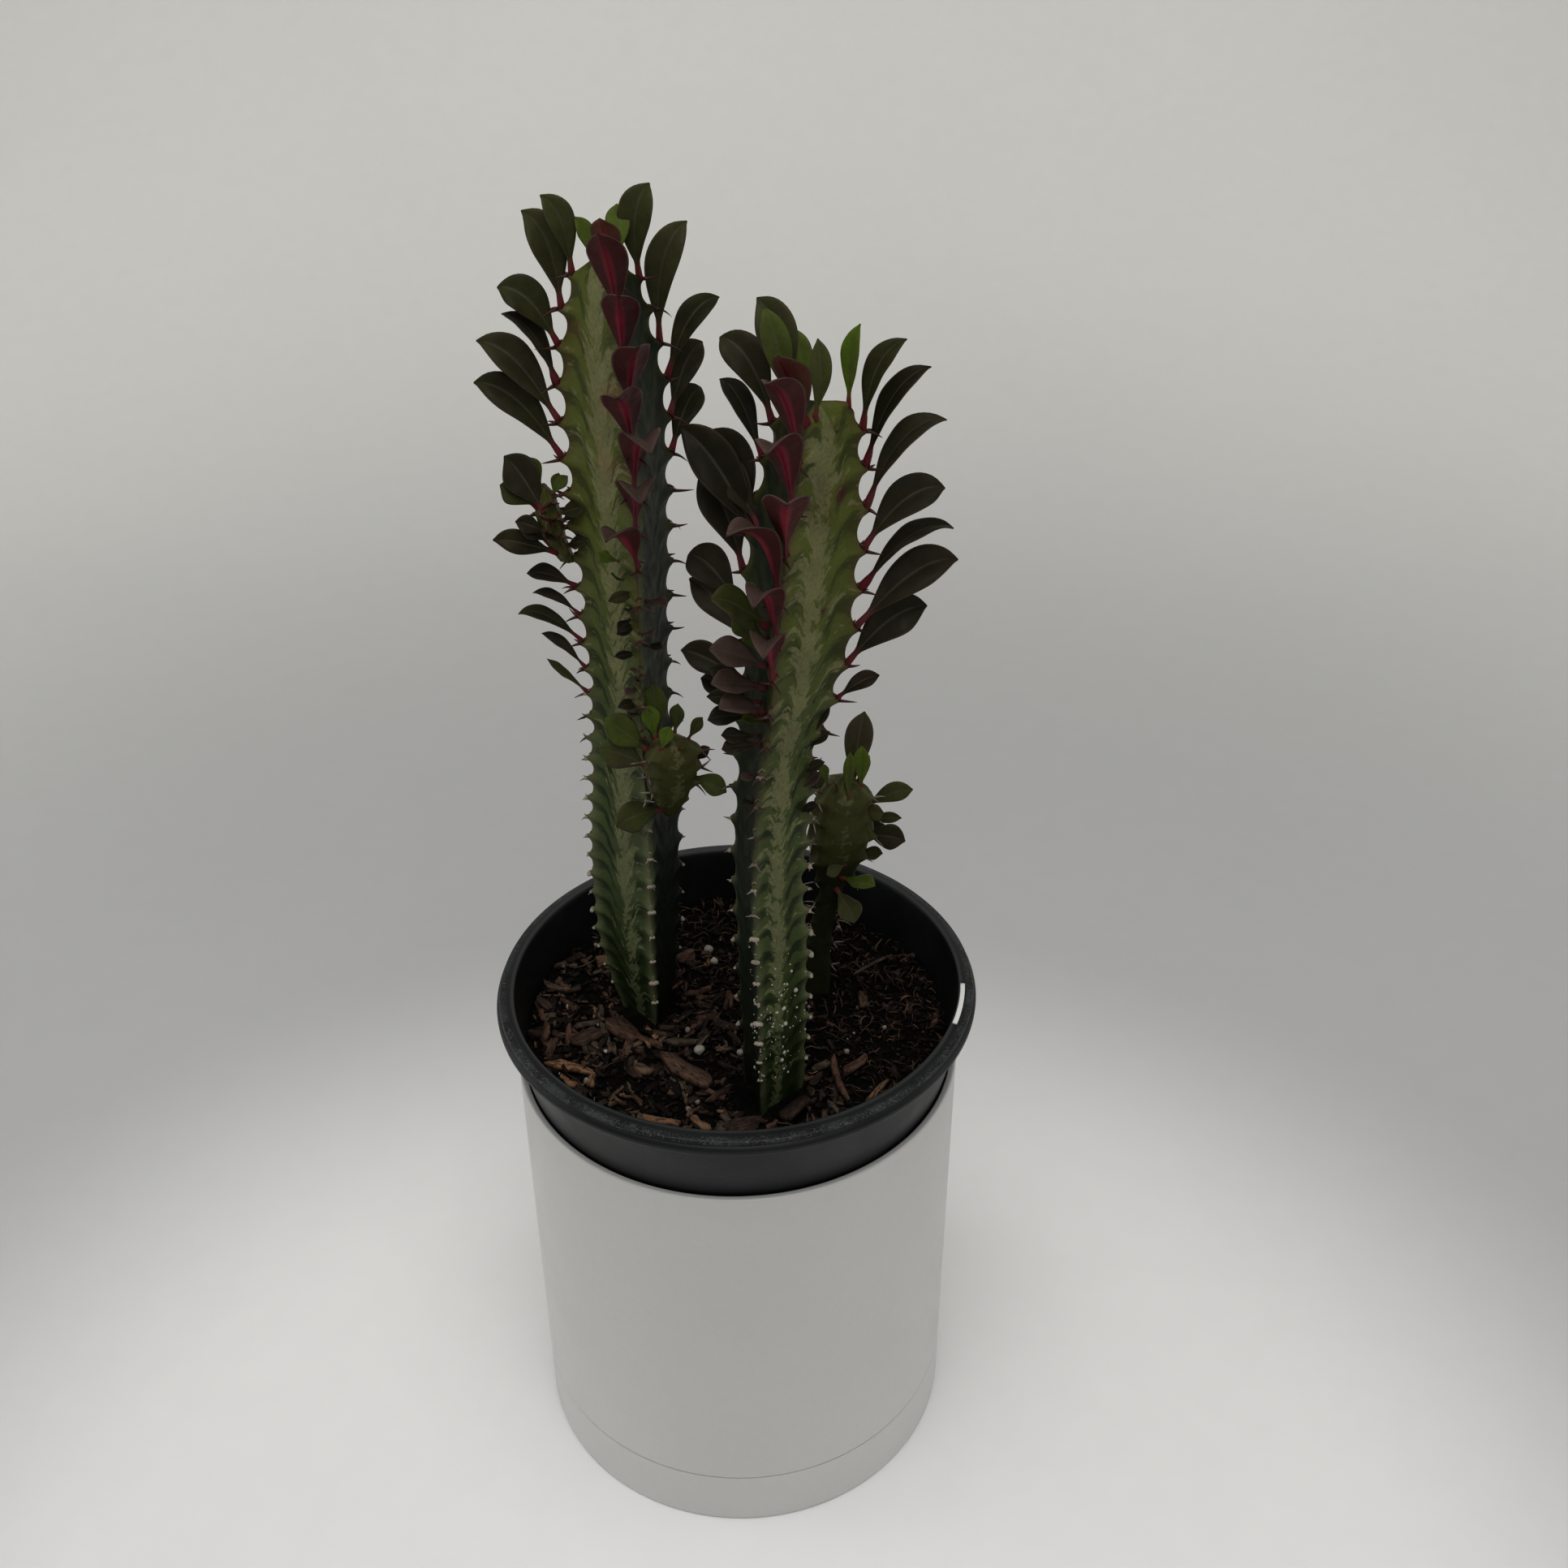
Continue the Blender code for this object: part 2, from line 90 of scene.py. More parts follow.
def fullTurn(count, start=0.0):
    # this many even bearings round a full turn; the start is counted in steps
    return (np.arange(count) + start) * math.tau / count


def levelWay(bearing):
    # the level unit vector at this bearing
    return np.stack([np.cos(bearing), np.sin(bearing), 0.0 * bearing], -1)


skyward = np.array([0.0, 0.0, 1.0])


# shapes: a dictionary of points, lists of faces by corner count, and one number per point per tag

def gridQuads(rows, columns, wrapRows=False, wrapColumns=False):
    r = np.arange(rows if wrapRows else rows - 1)[:, None]
    c = np.arange(columns if wrapColumns else columns - 1)[None, :]
    nextR = (r + 1) % rows
    nextC = (c + 1) % columns
    corners = [r * columns + c, r * columns + nextC, nextR * columns + nextC, nextR * columns + c]
    return np.stack(np.broadcast_arrays(*corners), -1).reshape(-1, 4)


def tubeShape(rings, tags=None, closedLoop=False):
    # rings is an array of rows of points; each row is closed, and both ends close on their middles
    rows, columns = rings.shape[:2]
    points = rings.reshape(-1, 3)
    tags = {name: np.broadcast_to(value, (rows, columns)).reshape(-1)
            for name, value in (tags or {}).items()}
    quads = gridQuads(rows, columns, closedLoop, True)
    tris = np.zeros((0, 3), int)
    if not closedLoop:
        points = np.concatenate([points, rings[:1].mean(1), rings[-1:].mean(1)])
        tags = {name: np.concatenate([value, [value[:columns].mean(), value[-columns:].mean()]])
                for name, value in tags.items()}
        c = np.arange(columns)
        n = (c + 1) % columns
        base = rows * columns
        first = np.stack([np.full(columns, base), n, c], -1)
        last = np.stack([np.full(columns, base + 1), c + base - columns, n + base - columns], -1)
        tris = np.concatenate([first, last])
    return outward({"points": points, "quads": quads, "tris": tris, "tags": tags})


def unitBall(rows, columns, short):
    # a ball of radius 1 in rows that stop this angle short of both poles
    polar = np.linspace(short, math.pi - short, rows)[:, None]
    return levelWay(fullTurn(columns)) * np.sin(polar)[..., None] + skyward * np.cos(polar)[..., None]


def outward(shape):
    # the sum of the signed volumes under the faces is negative when they point inwards
    points = shape["points"]
    q, t = shape["quads"], shape["tris"]
    tris = np.concatenate([q[:, [0, 1, 2]], q[:, [0, 2, 3]], t])
    a, b, c = (points[tris[:, k]] for k in range(3))
    if np.sum(a * np.cross(b, c)) < 0.0:
        shape["quads"] = q[:, ::-1]
        shape["tris"] = t[:, ::-1]
    return shape


def joined(shapes):
    starts = np.cumsum([0] + [len(s["points"]) for s in shapes])
    names = shapes[0]["tags"].keys()
    return {"points": np.concatenate([s["points"] for s in shapes]),
            "quads": np.concatenate([s["quads"] + k for s, k in zip(shapes, starts)]),
            "tris": np.concatenate([s["tris"] + k for s, k in zip(shapes, starts)]),
            "tags": {n: np.concatenate([s["tags"][n] for s in shapes]) for n in names}}


def searchTree(shape):
    faces = shape["quads"].tolist() + shape["tris"].tolist()
    return BVHTree.FromPolygons(shape["points"].tolist(), faces)


def seated(tree, point, depth):
    # the point itself where it lies this deep under the surface, or else the nearest point that does
    where, normal = tree.find_nearest(Vector(point))[:2]
    if (Vector(point) - where).dot(normal) < -depth:
        return point
    return np.array(where - normal * depth)


def addObject(name, data):
    item = bpy.data.objects.new(name, data)
    bpy.context.scene.collection.objects.link(item)
    return item


def addPiece(name, shape, material, replaces=(), smooth=True):
    # one finished object at the origin that rides on the root body
    quads, tris = shape["quads"], shape["tris"]
    mesh = bpy.data.meshes.new(name)
    mesh.vertices.add(len(shape["points"]))
    mesh.vertices.foreach_set("co", shape["points"].astype(np.float32).ravel())
    mesh.loops.add(quads.size + tris.size)
    corners = np.concatenate([quads.ravel(), tris.ravel()])
    mesh.loops.foreach_set("vertex_index", corners.astype(np.int32))
    mesh.polygons.add(len(quads) + len(tris))
    starts = np.concatenate([np.arange(len(quads)) * 4, quads.size + np.arange(len(tris)) * 3])
    mesh.polygons.foreach_set("loop_start", starts.astype(np.int32))
    mesh.update(calc_edges=True)
    mesh.validate()
    if smooth:
        mesh.shade_smooth()
    for tag, value in shape["tags"].items():
        attribute = mesh.attributes.new(tag, "FLOAT", "POINT")
        attribute.data.foreach_set("value", value.astype(np.float32))
    mesh.materials.append(material)
    piece = addObject(name, mesh)
    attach(piece, "root")
    if replaces:
        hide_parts(*replaces)


# shader helpers

class Value:
    # what a node gives; the signs +, - and * and the calls below add a node after it

    def __init__(self, tree, socket):
        self.tree = tree
        self.socket = socket

    def maths(self, operation, other=0.0):
        return addNode(self.tree, "ShaderNodeMath", {0: self, 1: other}, operation=operation)

    def __add__(self, other):
        return self.maths("ADD", other)

    def __sub__(self, other):
        return self.maths("SUBTRACT", other)

    def __mul__(self, other):
        return self.maths("MULTIPLY", other)

    def ramp(self, low, high, toLow=0.0, toHigh=1.0):
        # a smooth step between the two given values
        return addNode(self.tree, "ShaderNodeMapRange", {
            "Value": self, "From Min": low, "From Max": high, "To Min": toLow, "To Max": toHigh},
            interpolation_type="SMOOTHSTEP")


def addNode(tree, kind, inputs, output=0, **settings):
    # a node with its settings made and its inputs linked or set; gives one of its outputs
    node = tree.nodes.new(kind)
    for key, value in settings.items():
        setattr(node, key, value)
    for key, value in inputs.items():
        socket = node.inputs[key]
        if isinstance(value, Value):
            tree.links.new(value.socket, socket)
        else:
            socket.default_value = (*value, 1.0) if socket.type == "RGBA" else value
    return Value(tree, node.outputs[output])


def mixed(factor, first, second):
    return addNode(factor.tree, "ShaderNodeMix", {0: factor, 6: first, 7: second}, 2, data_type="RGBA")


class Skin:
    # one material: the calls make values for its nodes, and finish links them to its shader

    def __init__(self, name, **sockets):
        self.material = bpy.data.materials.new(name)
        self.material.use_nodes = True
        self.tree = self.material.node_tree
        self.shader = self.tree.nodes["Principled BSDF"]
        for socket, value in sockets.items():
            self.shader.inputs[socket.replace("_", " ")].default_value = value

    def place(self):
        return addNode(self.tree, "ShaderNodeTexCoord", {}, "Object")

    def tags(self, *names):
        return [addNode(self.tree, "ShaderNodeAttribute", {}, "Fac", attribute_name=name) for name in names]

    def vector(self, x, y, z):
        return addNode(self.tree, "ShaderNodeCombineXYZ", {0: x, 1: y, 2: z})

    def noise(self, scale, detail=3.0, rough=0.55, at=None):
        return addNode(self.tree, "ShaderNodeTexNoise", {
            "Vector": at or self.place(), "Scale": scale, "Detail": detail, "Roughness": rough})

    def patchy(self, scale, low, high, detail=3.0):
        # a roughness that wanders between the two values
        return self.noise(scale, detail).ramp(0.3, 0.7, low, high)

    def mottled(self, colour, coarse, fine, depth):
        # the colour made uneven at two noise scales, and the unevenness as a height
        inputs = {"Colour": colour, "Coarse": coarse, "Fine": fine, "Depth": depth}
        uneven = addNode(self.tree, "ShaderNodeGroup", inputs, "Colour", node_tree=mottleGroup)
        return uneven, Value(self.tree, uneven.socket.node.outputs["Height"])

    def finish(self, colour, rough=None, height=None, strength=0.0, distance=0.0):
        ends = {"Base Color": colour}
        if height:
            ends["Roughness"] = rough
            ends["Normal"] = addNode(self.tree, "ShaderNodeBump", {
                "Height": height, "Strength": strength, "Distance": distance})
        for socket, value in ends.items():
            self.tree.links.new(value.socket, self.shader.inputs[socket])
        return self.material


def makeMottleGroup():
    # uneven skin: a coarse and a fine noise multiplied over a colour, and the same as a height
    group = bpy.data.node_groups.new("mottle", "ShaderNodeTree")
    for way, name, kind in (("INPUT", "Colour", "Color"), ("INPUT", "Coarse", "Float"),
                            ("INPUT", "Fine", "Float"), ("INPUT", "Depth", "Float"),
                            ("OUTPUT", "Colour", "Color"), ("OUTPUT", "Height", "Float")):
        group.interface.new_socket(name, in_out=way, socket_type="NodeSocket" + kind)
    given = group.nodes.new("NodeGroupInput").outputs
    result = group.nodes.new("NodeGroupOutput").inputs
    colour, coarse, fine, depth = (Value(group, given[k]) for k in range(4))
    where = addNode(group, "ShaderNodeTexCoord", {}, "Object")
    clouds, grains = (
        addNode(group, "ShaderNodeTexNoise", {"Vector": where, "Scale": scale, "Detail": detail})
        for scale, detail in ((coarse, 3.0), (fine, 2.0)))
    both = clouds * 0.6 + grains * 0.4
    shade = both.ramp(0.3, 0.7, depth * -1.0 + 1.0, depth + 1.0)
    grey = addNode(group, "ShaderNodeCombineColor", {0: shade, 1: shade, 2: shade})
    uneven = addNode(group, "ShaderNodeMix", {0: 1.0, 6: colour, 7: grey}, 2, data_type="RGBA",
                     blend_type="MULTIPLY")
    group.links.new(uneven.socket, result["Colour"])
    group.links.new(both.socket, result["Height"])
    return group


mottleGroup = makeMottleGroup()


# stage: floor that curves up behind, soft lights, camera

stageLook = {
    # the far colour is painted shade on the floor beyond the pot; the palest point is the middle of a painted
    # pool of light before it
    "floorColour": (0.88, 0.88, 0.88), "farPaintedShade": (0.54, 0.54, 0.54), "wallColour": (0.93, 0.93, 0.90),
    "floorHalf": 5.0, "wallHeight": 3.5, "wallAt": 1.5, "bend": 0.8, "bendSteps": 25,
    "paintedLightCentre": (0.0, -0.13, 0.0), "paintedShadeTurns": (0.22, 0.44), "turnsWall": (0.50, 1.55),
    "skyColour": (1.0, 0.99, 0.97), "skyStrength": 0.32,
    "lights": [  # place, aims at, width, power, colour
        ((-0.07, -0.42, 1.70), (0.0, 0.0, 0.1), 1.3, 13.0, (1.0, 0.992, 0.976)),
        ((0.45, -1.20, 1.00), (0.0, 0.0, 0.2), 1.2, 2.6, (1.0, 0.99, 0.975)),
        ((-1.40, 0.10, 0.40), (0.0, 0.0, 0.12), 0.9, 3.1, (1.0, 1.0, 1.0)),
        ((1.40, 0.15, 0.40), (0.0, 0.0, 0.12), 0.9, 1.8, (1.0, 1.0, 1.0))],
    "gamma": 0.85,
    "cameraAt": (0.01669, -0.45479, 0.55623), "cameraPitch": 32.05, "cameraRoll": -0.27,
    "cameraLens": 38.30, "sensorWidth": 36.0, "nearest": 0.01,
}


def makeBackdrop(look):
    # floor profile runs level, round a quarter arc, then up
    arc = np.radians(np.linspace(-90.0, 0.0, look["bendSteps"]))
    bend = look["bend"]
    x = np.array([-look["floorHalf"], look["floorHalf"]])
    y = np.concatenate([x[:1], look["wallAt"] - bend + bend * np.cos(arc), [look["wallAt"]]])
    z = np.concatenate([[0.0], bend + bend * np.sin(arc), [look["wallHeight"]]])
    points = np.stack(np.broadcast_arrays(x, y[:, None], z[:, None]), -1).reshape(-1, 3)
    mesh = bpy.data.meshes.new("backdrop")
    mesh.from_pydata(points.tolist(), [], gridQuads(len(y), 2)[:, ::-1].tolist())
    mesh.shade_smooth()
    # painted light and shade: the paper is palest just before the pot, a painted pool of light, and turns
    # greyer beyond it, painted shade
    skin = Skin("backdropPaper", Roughness=0.9)
    apart = addNode(skin.tree, "ShaderNodeVectorMath", {0: skin.place(), 1: look["paintedLightCentre"]},
                    operation="SUBTRACT")
    far = addNode(skin.tree, "ShaderNodeVectorMath", {0: apart}, 1, operation="LENGTH")
    paintedPaper = mixed(far.ramp(*look["paintedShadeTurns"]), look["floorColour"], look["farPaintedShade"])
    paintedPaper = mixed(far.ramp(*look["turnsWall"]), paintedPaper, look["wallColour"])
    mesh.materials.append(skin.finish(skin.mottled(paintedPaper, 3.0, 60.0, 0.012)[0]))
    addObject("backdrop", mesh)


def makeLights(look):
    for number, (at, aim, width, power, colour) in enumerate(look["lights"], 1):
        light = bpy.data.lights.new(f"softLight{number}", "AREA")
        light.shape = "DISK"
        light.size = width
        light.energy = power
        light.color = colour
        lamp = addObject(f"softLight{number}", light)
        lamp.location = at
        lamp.rotation_euler = (Vector(aim) - Vector(at)).to_track_quat("-Z", "Y").to_euler()
    world = bpy.data.worlds.new("studio")
    world.use_nodes = True
    back = world.node_tree.nodes["Background"]
    back.inputs["Color"].default_value = (*look["skyColour"], 1.0)
    back.inputs["Strength"].default_value = look["skyStrength"]
    bpy.context.scene.world = world
    bpy.context.scene.view_settings.view_transform = "Standard"
    bpy.context.scene.view_settings.gamma = look["gamma"]


def makeCamera(look):
    pitch, roll = math.radians(look["cameraPitch"]), math.radians(look["cameraRoll"])
    ahead = Vector((0.0, math.cos(pitch), -math.sin(pitch)))
    right = Vector((1.0, 0.0, 0.0))
    above = right.cross(ahead)
    turnedRight = right * math.cos(roll) + above * math.sin(roll)
    turnedAbove = above * math.cos(roll) - right * math.sin(roll)
    camera = bpy.data.cameras.new("camera")
    camera.lens = look["cameraLens"]
    camera.sensor_width = look["sensorWidth"]
    camera.clip_start = look["nearest"]
    eye = addObject("camera", camera)
    rotation = Matrix((turnedRight, turnedAbove, -ahead)).transposed().to_4x4()
    eye.matrix_world = Matrix.Translation(look["cameraAt"]) @ rotation
    bpy.context.scene.camera = eye


makeBackdrop(stageLook)
makeLights(stageLook)
makeCamera(stageLook)
print("stage ready")


# turned pieces: planter, saucer, plastic pot

def roundedOutline(corners, closed, steps=6):
    # each corner (radius, height, rounding) becomes a short curve that leaves and meets its sides
    spots = np.array([corner[:2] for corner in corners])
    outline = []
    for k, rounding in enumerate(corner[2] for corner in corners):
        here = spots[k]
        before, after = spots[k - 1], spots[(k + 1) % len(corners)]
        if rounding == 0.0 or (not closed and k in (0, len(corners) - 1)):
            outline.append(here[None, :])
            continue
        toBefore = (before - here) / np.linalg.norm(before - here)
        toAfter = (after - here) / np.linalg.norm(after - here)
        a, b = here + toBefore * rounding, here + toAfter * rounding
        t = np.linspace(0.0, 1.0, steps)[:, None]
        outline.append((1 - t) ** 2 * a + 2 * t * (1 - t) * here + t ** 2 * b)
    return np.concatenate(outline)


def turnedShape(outline, steps, closed, sway=None):
    # the outline carried round +Z; an open one starts and ends on the axis
    angle = fullTurn(steps)
    if not closed:
        outline = outline[1:-1]
    radius, height = outline[:, None, 0], outline[:, None, 1]
    far = radius + (sway(angle, height) if sway else 0.0 * angle)
    rings = levelWay(angle) * far[..., None] + skyward * height[..., None]
    return tubeShape(rings, {}, closedLoop=closed)


potSizes = {
    "gap": 0.0003, "planterRadius": 0.0772, "planterWall": 0.0024, "planterTop": 0.1643,
    "planterFloor": 0.005, "seam": 0.0239, "spigotHeight": 0.003, "spigotWall": 0.007,
    "saucerHeight": 0.0236, "saucerWall": 0.003, "saucerFloor": 0.004,
    "drainRadius": 0.009, "potTop": 0.1939, "potBase": 0.0292, "potWall": 0.0018,
    "entryRadius": 0.0743, "lipRadius": 0.0825, "flare": 0.182, "potBaseRadius": 0.060,
    "lipHeight": 0.0059, "collarHeight": 0.0356, "lipSway": 0.00022, "turnSteps": 320,
    # the lip from its inner foot to its outer edge: radius, distance below the top, rounding
    "lipCorners": [(0.07425, 0.0150, 0.004), (0.07600, 0.0016, 0.0006), (0.07640, 0.0002, 0.0004),
                   (0.07720, 0.0, 0.0004), (0.08120, 0.0006, 0.0005), (0.08165, 0.0016, 0.0004),
                   (0.08130, 0.0021, 0.0003), (0.08205, 0.0027, 0.0004), (0.0825, 0.0036, 0.0005),
                   (0.0824, 0.0053, 0.0005)],
}


glazeLook = {"glaze": (0.590, 0.588, 0.576), "speck": (0.50, 0.49, 0.46)}

plasticLook = {
    # the edge colour is a painted highlight along the lip's top edge
    "black": (0.0060, 0.0068, 0.0076), "dusty": (0.017, 0.019, 0.020), "edge": (0.050, 0.054, 0.056),
    "scuff": (0.055, 0.060, 0.063), "fleck": (0.16, 0.165, 0.165), "lipHighlightRadius": 0.0772,
    "rubHeight": (0.1912, 0.1926), "rubRadius": (0.0786, 0.0801),
}


def makeGlaze(name, look):
    skin = Skin(name, Coat_Weight=0.45, Coat_Roughness=0.32)
    specks = skin.noise(620.0, 1.0).ramp(0.76, 0.80) * 0.25
    colour = mixed(specks, skin.mottled(look["glaze"], 22.0, 420.0, 0.018)[0], look["speck"])
    return skin.finish(colour, skin.patchy(45.0, 0.34, 0.46), skin.noise(170.0, 2.0), 0.05, 0.0006)


def makeBlackPlastic(look):
    # satin black, greyed by scuffs on the lip's top and faint turning marks on the wall, with a painted
    # highlight line round the lip's top edge
    skin = Skin("blackPlastic", Specular_IOR_Level=0.34)
    here = skin.place()
    x, y, z = (addNode(skin.tree, "ShaderNodeSeparateXYZ", {0: here}, k) for k in range(3))
    far = (x * x + y * y).maths("SQRT")
    # the rubbed band is the lip's outer shoulder; the flat inside it stays darker
    onLip = z.ramp(*look["rubHeight"]) * far.ramp(*look["rubRadius"])
    fineRub = skin.noise(900.0, 3.0, 0.7)
    scuff = (skin.noise(85.0, 6.0, 0.72) * 0.62 + fineRub * 0.38).ramp(0.44, 0.60) * onLip
    flecks = skin.noise(1500.0, 1.0).ramp(0.58, 0.66) * onLip
    # painted highlight: a thin lighter line round the top edge of the lip, where light catches it
    edge = (far - look["lipHighlightRadius"]).maths("ABSOLUTE").ramp(0.0009, 0.0002)
    edge = edge * z.ramp(0.1930, 0.1938, 0.0, 0.55)
    dust = skin.noise(30.0, 5.0, 0.65).ramp(0.42, 0.75, 0.0, 0.35)
    colour = mixed(dust, look["black"], look["dusty"])
    colour = mixed(edge, colour, look["edge"])
    colour = mixed(scuff * 0.75, colour, look["scuff"])
    colour = mixed(flecks * 0.4, colour, look["fleck"])
    flattened = addNode(skin.tree, "ShaderNodeMapping", {"Vector": here, "Scale": (3.0, 3.0, 900.0)})
    rings = skin.noise(1.0, 2.0, at=flattened)
    rough = skin.patchy(60.0, 0.36, 0.46, 4.0) + scuff * 0.2
    return skin.finish(colour, rough, fineRub * 1.2 + rings * 0.25, 0.22, 0.0003)


def makePots(size):
    outer, top, seam = size["planterRadius"], size["planterTop"], size["seam"]
    inner, drain = outer - size["planterWall"], size["drainRadius"]
    floorTop = seam + size["planterFloor"]
    saucerInner, high = outer - size["saucerWall"], size["saucerHeight"]
    spigot = saucerInner - size["gap"] - 0.0002
    foot, spigotInner = seam - size["spigotHeight"], spigot - size["spigotWall"]
    planter = roundedOutline([
        (inner, top - 0.0003, 0.0006), (outer, top, 0.0010), (outer, seam, 0.0008), (spigot, seam, 0.0),
        (spigot, foot, 0.0004), (spigotInner, foot, 0.0004), (spigotInner, seam, 0.0),
        (drain, seam, 0.0005), (drain, floorTop, 0.0008), (inner, floorTop, 0.003)], True)
    bowl = size["saucerFloor"]
    saucer = roundedOutline([
        (0.0, bowl, 0.0), (saucerInner, bowl, 0.002), (saucerInner, high, 0.0006),
        (outer, high, 0.0009), (outer, 0.0, 0.0016), (0.0, 0.0, 0.0)], False)
    potTop, potFoot = size["potTop"], size["potBase"]
    under, collarBase = potTop - size["lipHeight"], potTop - size["collarHeight"]
    rimWall = size["entryRadius"] + size["flare"] * (under - top)
    collar = size["entryRadius"] - size["flare"] * (top - collarBase)
    base, thick = size["potBaseRadius"], size["potWall"]
    pot = roundedOutline([
        (0.0, potFoot + thick, 0.0), (base - thick, potFoot + thick, 0.002),
        (collar - thick, collarBase, 0.004),
        *[(radius, potTop - below, rounding) for radius, below, rounding in size["lipCorners"]],
        (size["lipRadius"] - 0.0010, under, 0.0004), (rimWall + 0.0004, under - 0.0001, 0.0009),
        (collar, collarBase, 0.003), (base, potFoot, 0.0015), (0.0, potFoot, 0.0)], False, 5)

    def softLip(angle, height):
        # a moulded lip is never quite round
        wave = np.sin(2 * angle + 0.7) + 0.5 * np.sin(5 * angle + 2.0)
        return smoothStep(height, potTop - 0.03, potTop) * size["lipSway"] * wave

    steps = size["turnSteps"]
    addPiece("planterBody", turnedShape(planter, steps, True), makeGlaze("glazeBody", glazeLook),
             ["planter"])
    addPiece("planterSaucer", turnedShape(saucer, steps, False), makeGlaze("glazeSaucer", glazeLook),
             ["planter_saucer"])
    addPiece("nurseryPot", turnedShape(pot, steps, False, softLip), makeBlackPlastic(plasticLook),
             ["nursery_pot"])


makePots(potSizes)
print("pots ready")


# stems

soilTop = 0.1759

stemLook = {
    "face": 0.43, "plumpFace": 0.66, "ridgeWidth": 10.5, "toothDeep": 0.0037, "toothShallow": 0.0022,
    "rowStep": 0.00044, "columnsPerRib": 46, "bandWidth": 0.50, "domeLarge": 0.0045, "domeSmall": 0.0035,
    "smallRowStep": 0.0004, "smallColumnsPerRib": 30, "halfRib": 60.0, "plumpLimit": 0.86,
    "upperGreen": (0.092, 0.108, 0.021), "middleGreen": (0.056, 0.076, 0.024),
    "lowerGreen": (0.018, 0.034, 0.008), "upperDark": (0.045, 0.055, 0.012),
    "lowerDark": (0.008, 0.017, 0.004),
    "pale": (0.192, 0.188, 0.094), "paleLow": (0.152, 0.164, 0.084), "tipBrown": (0.120, 0.062, 0.040),
    "ridgePale": (0.150, 0.165, 0.085), "shootOlive": (0.085, 0.078, 0.022), "sore": (0.055, 0.016, 0.014),
    # the dim green is the near-black green of painted shade
    "paintedShadeGreen": (0.006, 0.010, 0.004), "rust": (0.19, 0.095, 0.050),
}

# what the short stem and the shoots share, including a light painted shade over the whole stem
smallStem = {"lean": 0.0, "slope": 0.005, "spineFrom": 0.0, "paintedShadeFace": None, "dim": 0.3, "spots": []}

